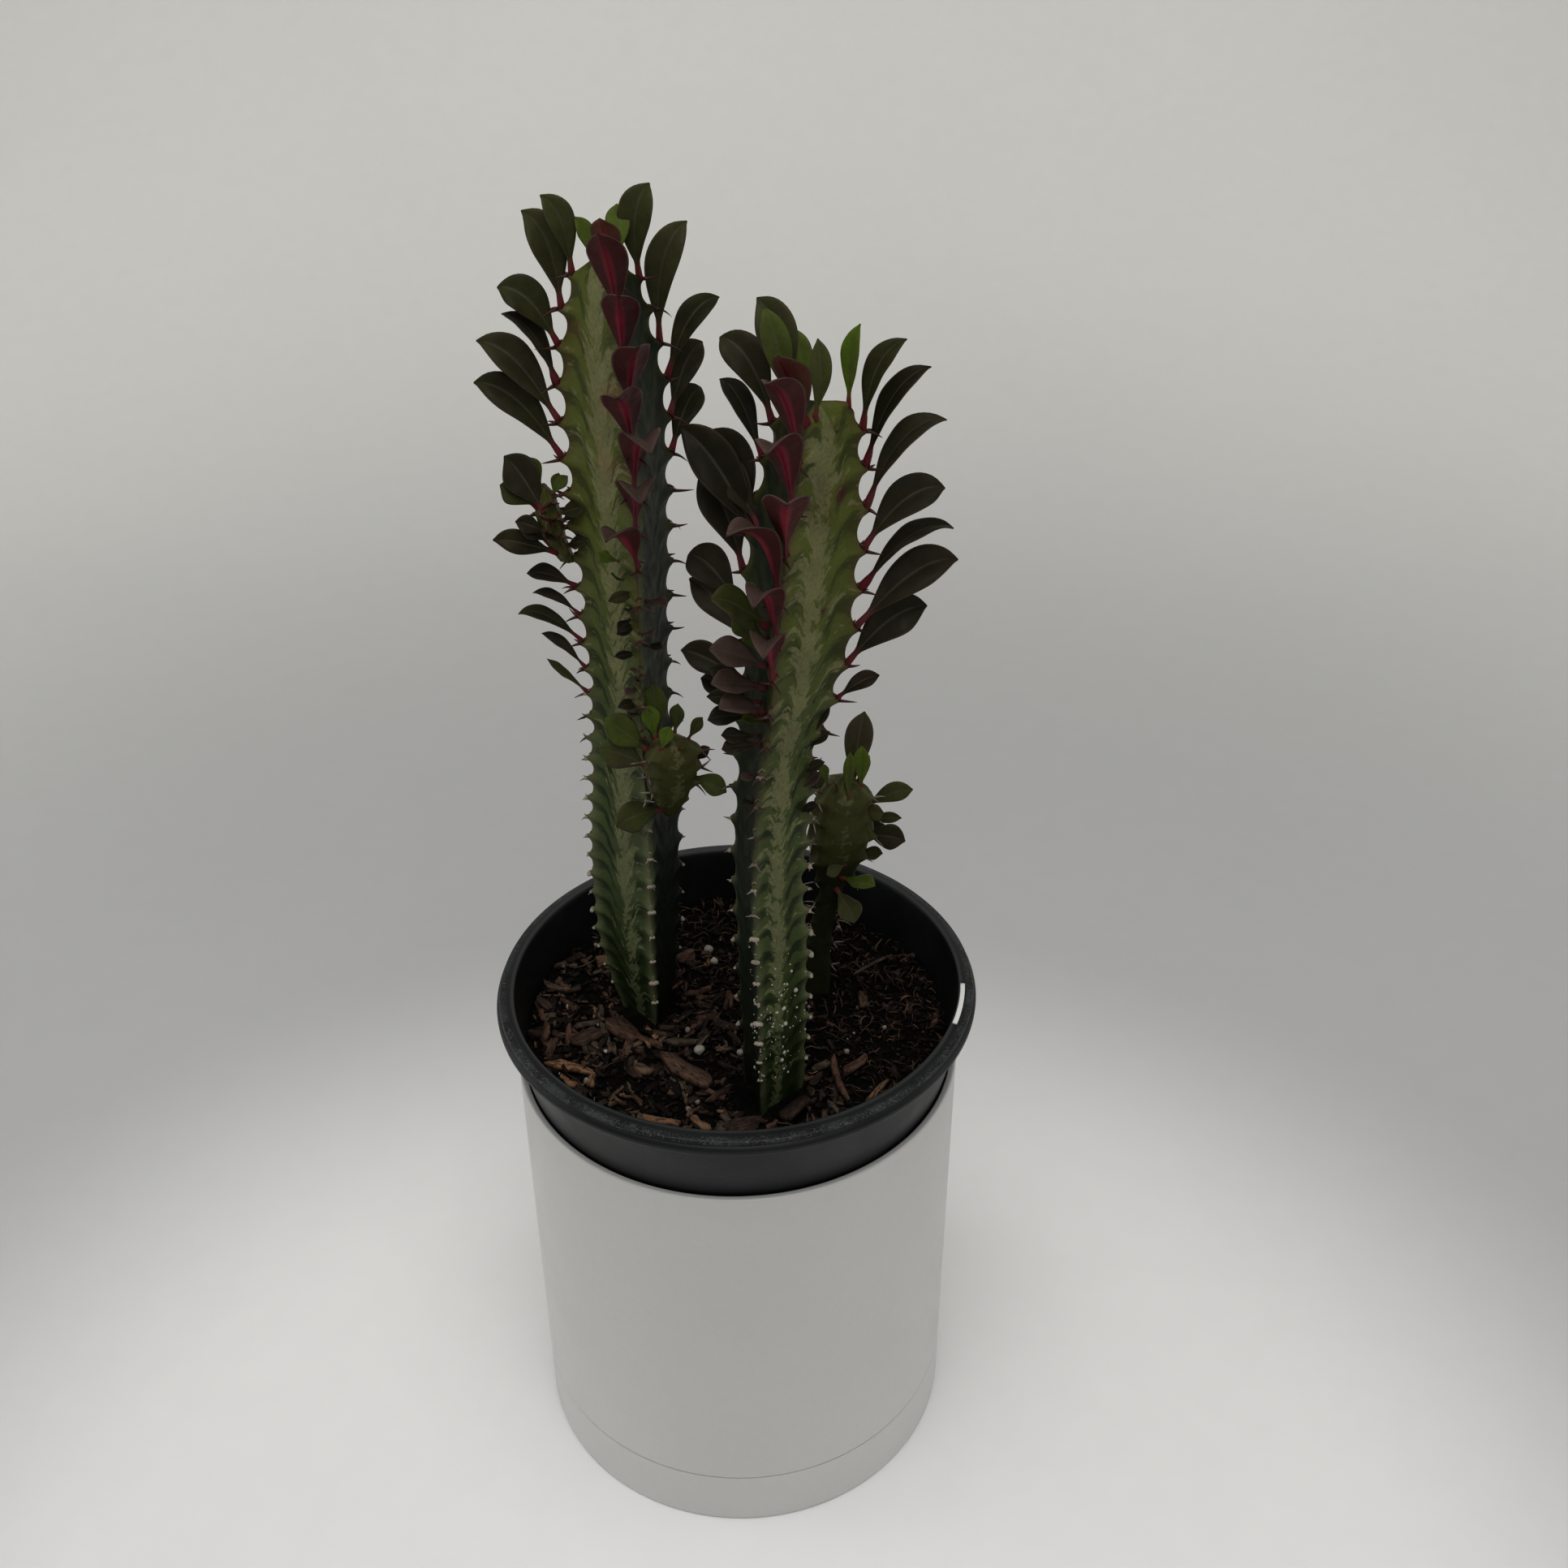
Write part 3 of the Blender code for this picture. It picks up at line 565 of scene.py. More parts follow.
# knots: height over the soil, x, y, rib radius; ribs: bearing, first tooth, pitch, shrink
# each plan also gives the bearing of the face painted in shade and the strength of that painted shade
stemPlans = {
    "stem_left": {
        "knots": [(-0.026, -0.0312, 0.005, 0.0080), (0.000, -0.0312, 0.005, 0.0105),
                  (0.012, -0.0314, 0.005, 0.0150), (0.030, -0.0320, 0.005, 0.0185),
                  (0.070, -0.0310, 0.005, 0.0195), (0.100, -0.0307, 0.005, 0.0178),
                  (0.125, -0.0305, 0.005, 0.0166), (0.150, -0.0300, 0.005, 0.0180),
                  (0.205, -0.0294, 0.005, 0.0205), (0.225, -0.0296, 0.005, 0.0200),
                  (0.246, -0.0305, 0.005, 0.0165), (0.256, -0.0313, 0.005, 0.0125),
                  (0.262, -0.0316, 0.005, 0.0050)],
        "ribs": [(166, 0.2635, 0.0127, 0.00030), (284, 0.2645, 0.0126, 0.00011),
                 (46, 0.2600, 0.0114, 0.0)], "lean": 0.20, "slope": 0.012, "spineFrom": 0.0,
        "paintedShadeFace": 350, "dim": 1.0, "spots": []},
    "stem_right": {
        "knots": [(-0.026, 0.0115, -0.038, 0.0090), (0.000, 0.0115, -0.038, 0.0120),
                  (0.025, 0.0115, -0.038, 0.0145), (0.060, 0.0111, -0.038, 0.0150),
                  (0.081, 0.0104, -0.038, 0.0147), (0.108, 0.0114, -0.038, 0.0154),
                  (0.128, 0.0128, -0.038, 0.0156), (0.146, 0.0163, -0.038, 0.0184),
                  (0.168, 0.0184, -0.038, 0.0215), (0.192, 0.0206, -0.038, 0.0206),
                  (0.206, 0.0221, -0.038, 0.0196), (0.216, 0.0232, -0.038, 0.0178),
                  (0.226, 0.0243, -0.038, 0.0160), (0.2355, 0.0255, -0.038, 0.0128)],
        "ribs": [(17, 0.2345, 0.0142, 0.00042), (257, 0.2420, 0.0136, 0.00030),
                 (137, 0.2420, 0.0115, 0.0)], "lean": 0.26, "slope": 0.006, "spineFrom": 0.0,
        "paintedShadeFace": 197, "dim": 1.0,
        # height (mm), bearing, size (mm), strength
        "spots": [(211, 350, 2.9, 1.0), (211, 296, 6.5, 0.36), (205, 318, 5.0, 0.26), (178, 332, 1.8, 0.95)]},
    "stem_short": {
        **smallStem,
        "knots": [(-0.026, 0.0252, 0.016, 0.0060), (0.000, 0.0257, 0.016, 0.0075),
                  (0.026, 0.0292, 0.018, 0.0060), (0.042, 0.0326, 0.019, 0.0064),
                  (0.053, 0.0342, 0.020, 0.0112), (0.066, 0.0356, 0.020, 0.0138),
                  (0.078, 0.0362, 0.020, 0.0124), (0.085, 0.0366, 0.020, 0.0080)],
        "ribs": [(bearing, 0.0850, 0.0090, 0.0) for bearing in (340, 220, 100)]},
    "shoot_side": {
        **smallStem,
        "knots": [(0.0835, -0.0205, 0.0012, 0.0021), (0.0900, -0.0198, -0.0046, 0.0042),
                  (0.0970, -0.0192, -0.0090, 0.0066), (0.1060, -0.0188, -0.0108, 0.0100),
                  (0.1150, -0.0184, -0.0122, 0.0110), (0.1205, -0.0180, -0.0126, 0.0084)],
        "ribs": [(bearing, 0.1210, 0.0078, 0.0) for bearing in (350, 230, 110)], "spineFrom": 0.096},
    "shoot_small": {
        **smallStem,
        "knots": [(0.1690, -0.0478, 0.0094, 0.0026), (0.1770, -0.0518, 0.0100, 0.0046),
                  (0.1850, -0.0530, 0.0102, 0.0048), (0.1905, -0.0538, 0.0104, 0.0040),
                  (0.1940, -0.0545, 0.0106, 0.0022)],
        "ribs": [(bearing, 0.1930, 0.0060, 0.0) for bearing in (180, 300, 60)], "spineFrom": 0.175},
}


def toothHeights(rib, count=34):
    # teeth crowd together at the tip, and their pitch shrinks slowly towards the soil
    first, pitch, shrink = rib[1:]
    k = np.arange(count - 1)
    steps = np.maximum(0.6 * pitch, pitch * (1.0 - 0.57 * np.exp(-k)) - shrink * (k + 0.5))
    return first - np.concatenate([[0.0], np.cumsum(steps)])


def stemMiddle(plan, height):
    # middle line and rib radius at these heights over the soil
    knots = np.array(plan["knots"])
    reach = 0.004 if knots[-1, 0] > 0.2 else 0.0016
    x, y, radius = (smoothTrack(height, knots[:, 0], knots[:, k], reach) for k in (1, 2, 3))
    return np.stack([x, y, height + soilTop], -1), radius


def domeFactor(plan, height):
    # the tip closes like the end of an ellipse
    top = plan["knots"][-1][0]
    left = np.clip((top - height) / stemLook["domeLarge" if top > 0.2 else "domeSmall"], 0.0, 1.0)
    return np.sqrt(1.0 - (1.0 - left) ** 2 * 0.995)


def notchDepth(fall):
    # fall runs 0 to 1 from one tooth down to the next: a round bay between narrow teeth
    bay = np.clip(1.0 - ((fall - 0.48) / 0.41) ** 2, 0.0, 1.0) ** 0.62
    fromTip = np.minimum(fall, 1.0 - fall)
    return 0.76 * bay + 0.24 * np.clip(fromTip / 0.14, 0.0, 1.0)


def makeStemShape(plan, look, seed):
    # three winged sections lofted up the middle line; rib edges are cut by round bays between teeth
    bottom, top = plan["knots"][0][0] + 0.001, plan["knots"][-1][0]
    large, planted = top > 0.2, bottom < 0.0
    step = look["rowStep" if large else "smallRowStep"]
    height = np.linspace(bottom, top, int((top - bottom) / step))
    middle, radius = stemMiddle(plan, height)
    tall = height[:, None]
    reach = (radius * domeFactor(plan, height))[:, None]
    perRib = look["columnsPerRib" if large else "smallColumnsPerRib"]
    spread = np.linspace(-1.0, 1.0, perRib, endpoint=False) + 1.0 / perRib
    offset = np.sign(spread) * np.abs(spread) ** 1.35
    near = np.abs(offset)
    drop = plan["slope"] * near ** 1.2 - 0.0030 * np.sin(math.pi * np.clip(near / 0.5, 0.0, 1.0))
    sheared = tall + drop * reach / 0.02
    ribs = sorted(plan["ribs"])
    leading = plan["ribs"][1]
    columns = []
    for number, rib in enumerate(ribs):
        nextRib, lastRib = ribs[(number + 1) % 3], ribs[number - 1]
        half = np.where(spread > 0.0, (nextRib[0] - rib[0]) % 360, (rib[0] - lastRib[0]) % 360) / 2.0
        beside = np.where(spread > 0.0, nextRib is leading, lastRib is leading)
        lean = plan["lean"] * (float(rib is leading) - beside)
        teeth = toothHeights(rib)[::-1]
        index = np.arange(len(teeth))[::-1]
        columns.append(np.broadcast_arrays(
            rib[0] + offset * half, np.interp(tall, teeth, index), np.interp(sheared, teeth, index),
            sheared, near, lean, number + 0.5 * (spread > 0.0)))
    bearing, phase, streakPhase, sheared, across, lean, side = (np.concatenate(c, 1) for c in zip(*columns))
    angle = np.radians(bearing)
    away = across * look["halfRib"]
    face, deep, plump = look["face"], 0.26 * reach, 1.0
    if large:
        deepens = smoothStep(tall, 0.05, 0.17)
        deep = look["toothShallow"] + (look["toothDeep"] - look["toothShallow"]) * deepens
    else:
        plump = look["plumpLimit"]
        swell = smoothStep(tall, bottom + 0.065, top - 0.02) if planted else 1.0
        face = face + (look["plumpFace"] - face) * swell
    body = face * reach / np.cos(np.radians(look["halfRib"] - away))
    deep = np.minimum(deep, 0.32 * reach)
    rooted = smoothStep(tall, 0.002, 0.02) if planted else 1.0
    fall = phase - np.floor(phase)
    wobble = cloudValue(np.stack([phase * 0.9, side, 0.0 * phase], -1), 1.0, seed)
    edge = reach - deep * notchDepth(fall) * rooted * (0.75 + 0.4 * wobble)
    if not large:
        body = np.minimum(body, plump * reach)
    vertex = np.minimum(face / 0.5, plump) * reach
    lift = (edge - vertex) * np.exp(-(away / look["ridgeWidth"]) ** 1.25)
    # each tooth stands on a low fold that runs down towards the middle of the face
    fold = 0.008 * reach * np.cos(math.tau * streakPhase) * np.sin(math.pi * across ** 0.8) * rooted
    points = middle[:, None, :] + levelWay(angle) * (body + lift + fold)[..., None]
    tip = np.clip(1.0 - np.minimum(fall, 1.0 - fall) / 0.12, 0.0, 1.0) * np.exp(-(away / 7.0) ** 2)
    points[..., 2] += 0.0003 * tip
    grain = layeredCloud(points, 0.004, seed + 3, 3) - 0.5
    points += (grain * 0.0005)[..., None] * levelWay(angle)
    # pale colour: a band along the face and a thin line over each tooth's darker lobe
    edgeWobble = layeredCloud(np.stack([sheared, side, across * 0.0], -1) / 0.011, 1.0, seed + 9, 2) - 0.5
    band = np.exp(-((1.0 - across - lean + 0.25 * edgeWobble) / look["bandWidth"]) ** 2)
    streakPhase = streakPhase + 0.5 * (layeredCloud(points, 0.006, seed + 13, 2) - 0.5)
    streak = streakPhase - np.floor(streakPhase)
    line = np.exp(-((streak - 0.97) / 0.07) ** 2) + np.exp(-((streak + 0.03) / 0.07) ** 2)
    line = line * smoothStep(across, 0.02, 0.12) * smoothStep(-across, -0.85, -0.45)
    lobe = np.exp(-((streak - 0.40) / 0.27) ** 2) * smoothStep(-across, -0.85, -0.40)
    # painted shade: a weight that darkens the stem where shade falls, more at the foot near the soil; on the
    # big stems only the face turned from the light gets it
    dim = plan["dim"] + 0.6 * smoothStep(-tall, -0.062, -0.045)
    if plan["paintedShadeFace"] is not None:
        dim = dim * smoothStep(np.cos(angle - math.radians(plan["paintedShadeFace"])), 0.40, 0.68)
    spot = np.zeros_like(across)
    for high, toward, size, strength in plan["spots"]:
        apart = (angle - math.radians(toward) + math.pi) % math.tau - math.pi
        gone = np.hypot(tall - high * 0.001, apart * reach * 0.6) / (size * 0.001)
        spot = np.maximum(spot, strength * np.exp(-gone ** 3))
    return tubeShape(points, {
        "pale": 0.98 * band + 0.30 * line, "lobe": lobe, "dim": dim, "spot": spot, "tip": tip,
        "young": 0.0 if large else 1.0, "ridge": np.exp(-(away / 6.0) ** 2), "rise": tall,
        "sheared": sheared + 0.001 * seed, "turnX": 0.015 * np.cos(angle), "turnY": 0.015 * np.sin(angle)})


def makeStemSkin(look):
    # green skin with a feathered pale band, dark lobes under the teeth, and a darker foot; painted shade
    # further darkens the face turned from the light and the foot near the soil and thins the pale marks
    # there; the noise is stretched round the stem, so the marks run out from the band like feathers
    skin = Skin("stemSkin", Specular_IOR_Level=0.14)
    rise, pale, lobe, dim, spot, young, ridge, tip, sheared, turnX, turnY = skin.tags(
        "rise", "pale", "lobe", "dim", "spot", "young", "ridge", "tip", "sheared", "turnX", "turnY")
    skinPlace = skin.vector(turnX * 0.42, turnY * 0.42, sheared)
    feather = skin.noise(520.0, 4.0, 0.62, skinPlace)
    feathers = feather - 0.5
    clouds = skin.noise(150.0, 2.0, 0.5, skinPlace) - 0.5
    fine = skin.noise(900.0, 3.0, 0.6)
    edge = pale + feathers * 3.0 + clouds * 2.2 - young * 0.45 - dim * 0.10
    mask = (edge - rise.ramp(0.02, 0.16, 0.20, 0.0)).ramp(0.32, 0.66)
    upper = rise.ramp(0.10, 0.21)
    green = mixed(rise.ramp(0.010, 0.080), look["lowerGreen"], look["middleGreen"])
    green = mixed(upper, green, look["upperGreen"])
    dark = mixed(upper, look["lowerDark"], look["upperDark"])
    shade = lobe + clouds * 2.6 + feathers * 1.8
    green = mixed(shade.ramp(0.25, 0.80) * 0.80, green, dark)
    green = mixed(young * 0.7, green, look["shootOlive"])
    paleTone = mixed(rise.ramp(0.02, 0.14), look["paleLow"], look["pale"])
    paleTone = mixed(fine.ramp(0.35, 0.65, 0.0, 0.35), paleTone, green)
    colour = mixed(mask * 0.90, green, paleTone)
    colour = mixed(ridge * rise.ramp(0.16, 0.06, 0.0, 0.6), colour, look["ridgePale"])
    blush = tip.maths("MAXIMUM", ridge * 0.45) * rise.ramp(0.06, 0.20, 0.15, 0.75)
    colour = mixed(blush, colour, look["tipBrown"])
    rust = skin.noise(48.0, 2.0).ramp(0.55, 0.70) * rise.ramp(0.16, 0.22, 0.0, 0.35)
    colour = mixed(rust, colour, look["rust"])
    # painted shade: the shade weight sinks the colour towards a near-black green, a little less near the top
    paintedShadeDepth = rise.ramp(0.09, 0.21, 0.96, 0.92) + clouds * 0.5
    colour = mixed(dim * paintedShadeDepth, colour, look["paintedShadeGreen"])
    colour = mixed(spot * fine.ramp(0.35, 0.6, 0.6, 1.0), colour, look["sore"])
    colour, height = skin.mottled(colour, 90.0, 1100.0, 0.14)
    return skin.finish(colour, skin.patchy(260.0, 0.46, 0.62), height + feather * 0.6, 0.30, 0.0004)


spineLook = {
    "rows": 7, "sides": 6, "shortest": 0.0010, "grows": 0.0048, "thinnest": 0.00028, "thickens": 0.00026,
    # which side, size, height above the tooth
    "kinds": [(-1.0, 1.0, 0.0), (1.0, 1.0, 0.0), (-1.0, 0.36, 0.0026), (1.0, 0.36, 0.0026)],
    "padHalves": (0.0009, 0.0016, 0.0007), "padsBelow": 0.75,
    "freshFoot": (0.075, 0.018, 0.014), "freshPoint": (0.014, 0.007, 0.006),
    "wornFoot": (0.11, 0.09, 0.07), "wornPoint": (0.36, 0.31, 0.26),
}


def makeSpineShape(plan, tree, look, seed):
    # a pair of curved spikes on each tooth and two short ones above it: thin cones that spread
    # sideways and droop at the point; low on the stem each tooth also has a small corky pad
    random = np.random.default_rng(seed)
    top = plan["knots"][-1][0]
    large = top > 0.2
    t = np.linspace(0.0, 1.0, look["rows"])
    around = fullTurn(look["sides"])[:, None]
    # squat balls for the pads
    ball = unitBall(5, look["sides"], 0.3)
    shapes = []
    for rib in plan["ribs"]:
        heights = toothHeights(rib)
        heights = heights[(heights > max(0.008, plan["spineFrom"])) & (heights < top - 0.002)]
        middle, radius = stemMiddle(plan, heights)
        out = levelWay(math.radians(rib[0]))
        side = np.cross(skyward, out)
        high = smoothStep(heights, 0.02, 0.20)
        count = len(heights)
        for turn, size, above in look["kinds"]:
            if above and not large:
                continue
            length = (look["shortest"] + look["grows"] * high) * random.uniform(0.6, 1.15, count) * size
            if not large:
                length = random.uniform(0.0026, 0.0056, count)
            thick = (look["thinnest"] + look["thickens"] * high) * (0.6 + 0.4 * size)
            sink = 0.0003 + (0.0016 * high if above else 0.0)
            root = middle + out * (radius * domeFactor(plan, heights) * 0.985 - sink)[:, None]
            root = root + side * turn * 0.0003 + skyward * above
            root = np.array([seated(tree, one, 0.0002) for one in root])
            spread = random.uniform(0.45, 1.15, count) * turn
            droop = random.uniform(-0.25, 0.60, count)
            way = out * np.cos(spread)[:, None] + side * np.sin(spread)[:, None]
            line = (root[:, None, :] + way[:, None, :] * (length[:, None] * t)[..., None]
                    - skyward * (length * droop)[:, None, None] * (t ** 2)[None, :, None])
            ring = np.cross(way, skyward)[:, None, None, :] * np.cos(around) + skyward * np.sin(around)
            girth = thick[:, None] * (1.0 - t) ** 0.8 + 0.00005
            rings = line[:, :, None, :] + ring * girth[:, :, None, None]
            shapes += [tubeShape(one, {"along": t[:, None], "rise": lift}) for one, lift in zip(rings, high)]
        if not large:
            continue
        for centre, reach, lift in zip(middle, radius, high):
            if lift < look["padsBelow"]:
                girth = np.array(look["padHalves"]) * random.uniform(0.6, 1.15) * (1.1 - 0.5 * lift)
                pad = (ball * girth) @ np.stack([out, side, skyward])
                shapes.append(tubeShape(centre + out * (reach - 0.0006) + pad,
                                        {"along": 0.8, "rise": lift * 0.8}))
    return joined(shapes)


def makeSpineSkin(look):
    # dark reddish horn at the top of the plant, grey and worn near the soil
    skin = Skin("spineHorn", Specular_IOR_Level=0.4)
    rise, along = skin.tags("rise", "along")
    fresh = mixed(along, look["freshFoot"], look["freshPoint"])
    worn = mixed(along, look["wornFoot"], look["wornPoint"])
    age = rise + (skin.noise(160.0) - 0.5) * 1.6
    colour, height = skin.mottled(mixed(age.ramp(0.20, 0.62), worn, fresh), 300.0, 1500.0, 0.15)
    return skin.finish(colour, skin.patchy(500.0, 0.40, 0.62), height, 0.2, 0.0002)


# each stem's surface, kept for what grows on it
stemTrees = {}


def camelName(node):
    first, *others = node.split("_")
    return first + "".join(word.capitalize() for word in others)


def makeStems():
    skin, horn = makeStemSkin(stemLook), makeSpineSkin(spineLook)
    for seed, (node, plan) in enumerate(stemPlans.items(), 3):
        name = camelName(node)
        body = makeStemShape(plan, stemLook, seed * 11)
        stemTrees[node] = searchTree(body)
        addPiece(name, body, skin, [node])
        spines = makeSpineShape(plan, stemTrees[node], spineLook, seed * 5)
        addPiece(name + "Spines", spines, horn)


makeStems()
print("stems ready")


# leaves

leafLook = {
    "thickness": 0.00085, "fold": 26.0, "frontFold": 36.0, "stalk": 0.00105, "aboveTooth": 0.0012,
    "rows": 26, "halfColumns": 7, "youngArch": 22.0, "keel": 0.00055, "groove": 0.00018,
    "topWine": (0.085, 0.052, 0.046), "topDark": (0.0150, 0.0130, 0.0062),
    "topOlive": (0.046, 0.052, 0.014), "topLime": (0.082, 0.125, 0.012), "topBlush": (0.044, 0.026, 0.016),
    "underDark": (0.066, 0.009, 0.011), "underBrown": (0.115, 0.045, 0.024),
    "underLime": (0.120, 0.135, 0.030), "veinTop": (0.082, 0.080, 0.055),
    "veinUnder": (0.250, 0.020, 0.046), "stalkRed": (0.125, 0.012, 0.022), "rimPale": (0.105, 0.080, 0.060),
    "point": (0.020, 0.012, 0.010), "faded": (0.10, 0.085, 0.06),
}

# rows: tooth, length, width (mm), swing, rise, roll (degrees), tone (0 dark, 1 lime), arch
leafRows = {
    ("left", "outer", 0): [
        (0, 12, 6, 0, 66, -40, 0.75, 30), (1, 21, 9, 0, 72, -45, 0.42, 34),
        (2, 26, 12, 0, 68, -50, 0.30, 34), (3, 23, 12, 0, 44, -50, 0.22, 38),
        (4, 24, 10, 0, 56, -12, 0.10, 30), (5, 31, 12, 0, 39, -50, 0.18, 34),
        (6, 33, 12, 0, 39, -50, 0.16, 34), (10, 15, 7, 0, 10, -35, 0.0, 30),
        (11, 15, 5, 0, 24, -15, 0.02, 40), (12, 22, 6, 0, 19, -30, 0.15, 40),
        (13, 16, 5, 0, 33, -15, 0.10, 34), (14, 15, 5, 0, 40, 0, 0.5, -20)],
    ("left", "front", 1): [
        (1, 17, 10, -15, 70, 0, 0.30, 4), (2, 32, 13, -13, 56, 0, -0.3, 4),
        (3, 31, 13, -12, 50, -8, -0.3, 12), (4, 29, 13, -6, 50, 10, -0.3, 16),
        (5, 31, 14, -12, 48, 10, -0.4, 26), (6, 31, 14, -3, 42, 0, -0.45, 60),
        (7, 28, 14, -8, 39, 0, -0.45, 64), (8, 25, 12, -28, 41, 0, -0.3, 40)],
    ("left", "rear", 2): [
        (1, 25, 11, 0, 82, 30, 0.32, 34), (3, 35, 11, 0, 75, 30, 0.30, 34),
        (4, 29, 9, 0, 48, 30, 0.15, 34), (5, 24, 10, 8, 43, 30, 0.10, 34),
        (6, 23, 10, 16, 38, 30, 0.12, 34)],
    ("right", "outer", 0): [
        (0, 20, 6, 0, 80, 45, 0.85, 24), (1, 26, 8, 0, 67, 35, 0.22, 34), (2, 31, 8, 0, 56, 25, 0.08, 34),
        (3, 33, 9, 0, 48, 25, 0.12, 40), (4, 29, 12, 0, 38, 50, 0.06, 34), (5, 32, 10, 0, 28, 5, 0.06, 40),
        (6, 34, 13, 0, 26, 50, 0.06, 34), (7, 28, 13, 0, 32, 55, 0.02, 30), (8, 13, 6, 0, 22, 35, 0.0, 30)],
    ("right", "front", 1): [
        (1, 26, 12, -9, 55, 0, 0.25, 4), (2, 32, 12, -5, 57, 12, -0.3, 34),
        (3, 33, 14, 0, 48, 8, -0.4, 50), (4, 33, 15, 10, 46, 0, -0.4, 24),
        (5, 33, 12, -33, 52, 0, -0.4, 50), (6, 28, 12, -8, 45, 0, -0.4, 60),
        (7, 27, 12, -2, 40, 0, -0.4, 60)],
    ("right", "rear", 2): [
        (1, 27, 12, 0, 62, -40, 0.28, 34), (2, 27, 12, 0, 53, -40, 0.14, 34),
        (3, 24, 8, 0, 44, -20, 0.05, 34), (5, 29, 14, 0, 61, -45, 0.0, 34),
        (6, 29, 14, 0, 54, -45, 0.0, 34), (7, 22, 13, 0, 30, -45, 0.0, 34)],
}


def leafShape(start, tree, row, tone, arch, fold, look, seed):
    # a spoon-shaped blade on a short stalk: the midrib bends outward along an arc, the two halves
    # rise from it like a shallow V, and the skin is a closed loop of top and underside in each row
    length, width = (value * 0.001 for value in row[:2])
    heading, rise, roll = (math.radians(value) for value in row[2:])
    half = look["halfColumns"]
    random = np.random.default_rng(seed)
    s = np.linspace(0.0, 1.0, look["rows"])[:, None] ** 0.92
    fold = math.sin(math.radians(fold)), math.cos(math.radians(fold))
    slender = min(1.0, width / 0.009)
    bend = math.radians(1.2 * arch) * min(1.0, length / 0.025)
    slope = rise + bend * (0.42 - 1.56 * s ** 2.7)
    steps = np.diff(s, axis=0, prepend=0.0) * length
    flat = levelWay(heading + math.pi / 2)
    along = levelWay(heading) * np.cos(slope) + skyward * np.sin(slope)
    line = start + np.cumsum(along * steps, 0)
    normal = np.cross(along, flat)
    twist = roll + random.uniform(-0.10, 0.10) * s
    across = flat * np.cos(twist) + normal * np.sin(twist)
    line = line + across * (random.uniform(-0.10, 0.10) * length * s ** 2)
    # a stalk that starts outside the stem bends in to reach it
    line = line + (seated(tree, start, 0.0005) - start) * smoothStep(-s, -0.5, 0.0)
    normal = normal * np.cos(twist) - flat * np.sin(twist)
    # half width: a power that widens towards the tip times one that rounds it off, scaled to 1
    blade = np.clip((s - 0.08) / 0.92, 0.0, 1.0)
    egg = blade ** 1.2 * (1.0 - blade ** 2.7) ** 1.08
    point = np.clip((1.0 - blade) / 0.05, 0.0, 1.0)
    stalk = look["stalk"] * (1.2 - 0.35 * np.clip(s / 0.15, 0.0, 1.0)) * min(1.0, width / 0.008)
    reach = np.maximum(stalk * (0.25 + 0.75 * point), 0.5 * width * egg / egg.max())
    # columns run over the top from edge to edge and back along the underside
    there = np.linspace(-1.0, 1.0, 2 * half + 1)
    t = np.concatenate([there, there[-2:0:-1]])
    under = (np.arange(4 * half) > 2 * half).astype(float)
    t = np.sign(t) * np.abs(t) ** 0.85
    span = np.abs(t)
    vee = (np.sqrt(span ** 2 + 0.012) - 0.11) * fold[0] - 0.22 * span ** 4 * fold[0]
    wave = 0.05 * np.sin(math.tau * (1.7 * s + random.uniform())) * span ** 2
    wave = wave + 0.035 * np.sin(math.tau * (3.3 * s + random.uniform())) * t * span
    thick = look["thickness"] * slender * np.clip(reach / 0.0015, 0.3, 1.0) * (1.0 - 0.75 * span ** 3)
    keel = look["keel"] * np.exp(-(span / 0.16) ** 2) * (1.0 - 0.75 * s) * slender
    groove = look["groove"] * np.exp(-(span / 0.10) ** 2) * smoothStep(s, 0.12, 0.3)
    lift = np.where(under > 0.5, -0.5 * thick - keel, 0.5 * thick - groove)
    lift = np.where(span > 0.999, 0.0, lift)
    stalkRound = smoothStep(s, 0.20, 0.08) * reach * 0.75 * (1.0 - span ** 2)
    lift += np.where(under > 0.5, -1.0, 1.0) * stalkRound
    sideways = reach * t * fold[1]
    upward = reach * (vee + wave) + lift
    points = line[:, None] + across[:, None] * sideways[..., None] + normal[:, None] * upward[..., None]
    return tubeShape(points, {"under": under, "span": span, "along": s, "tone": tone,
                              "shade": random.uniform()})


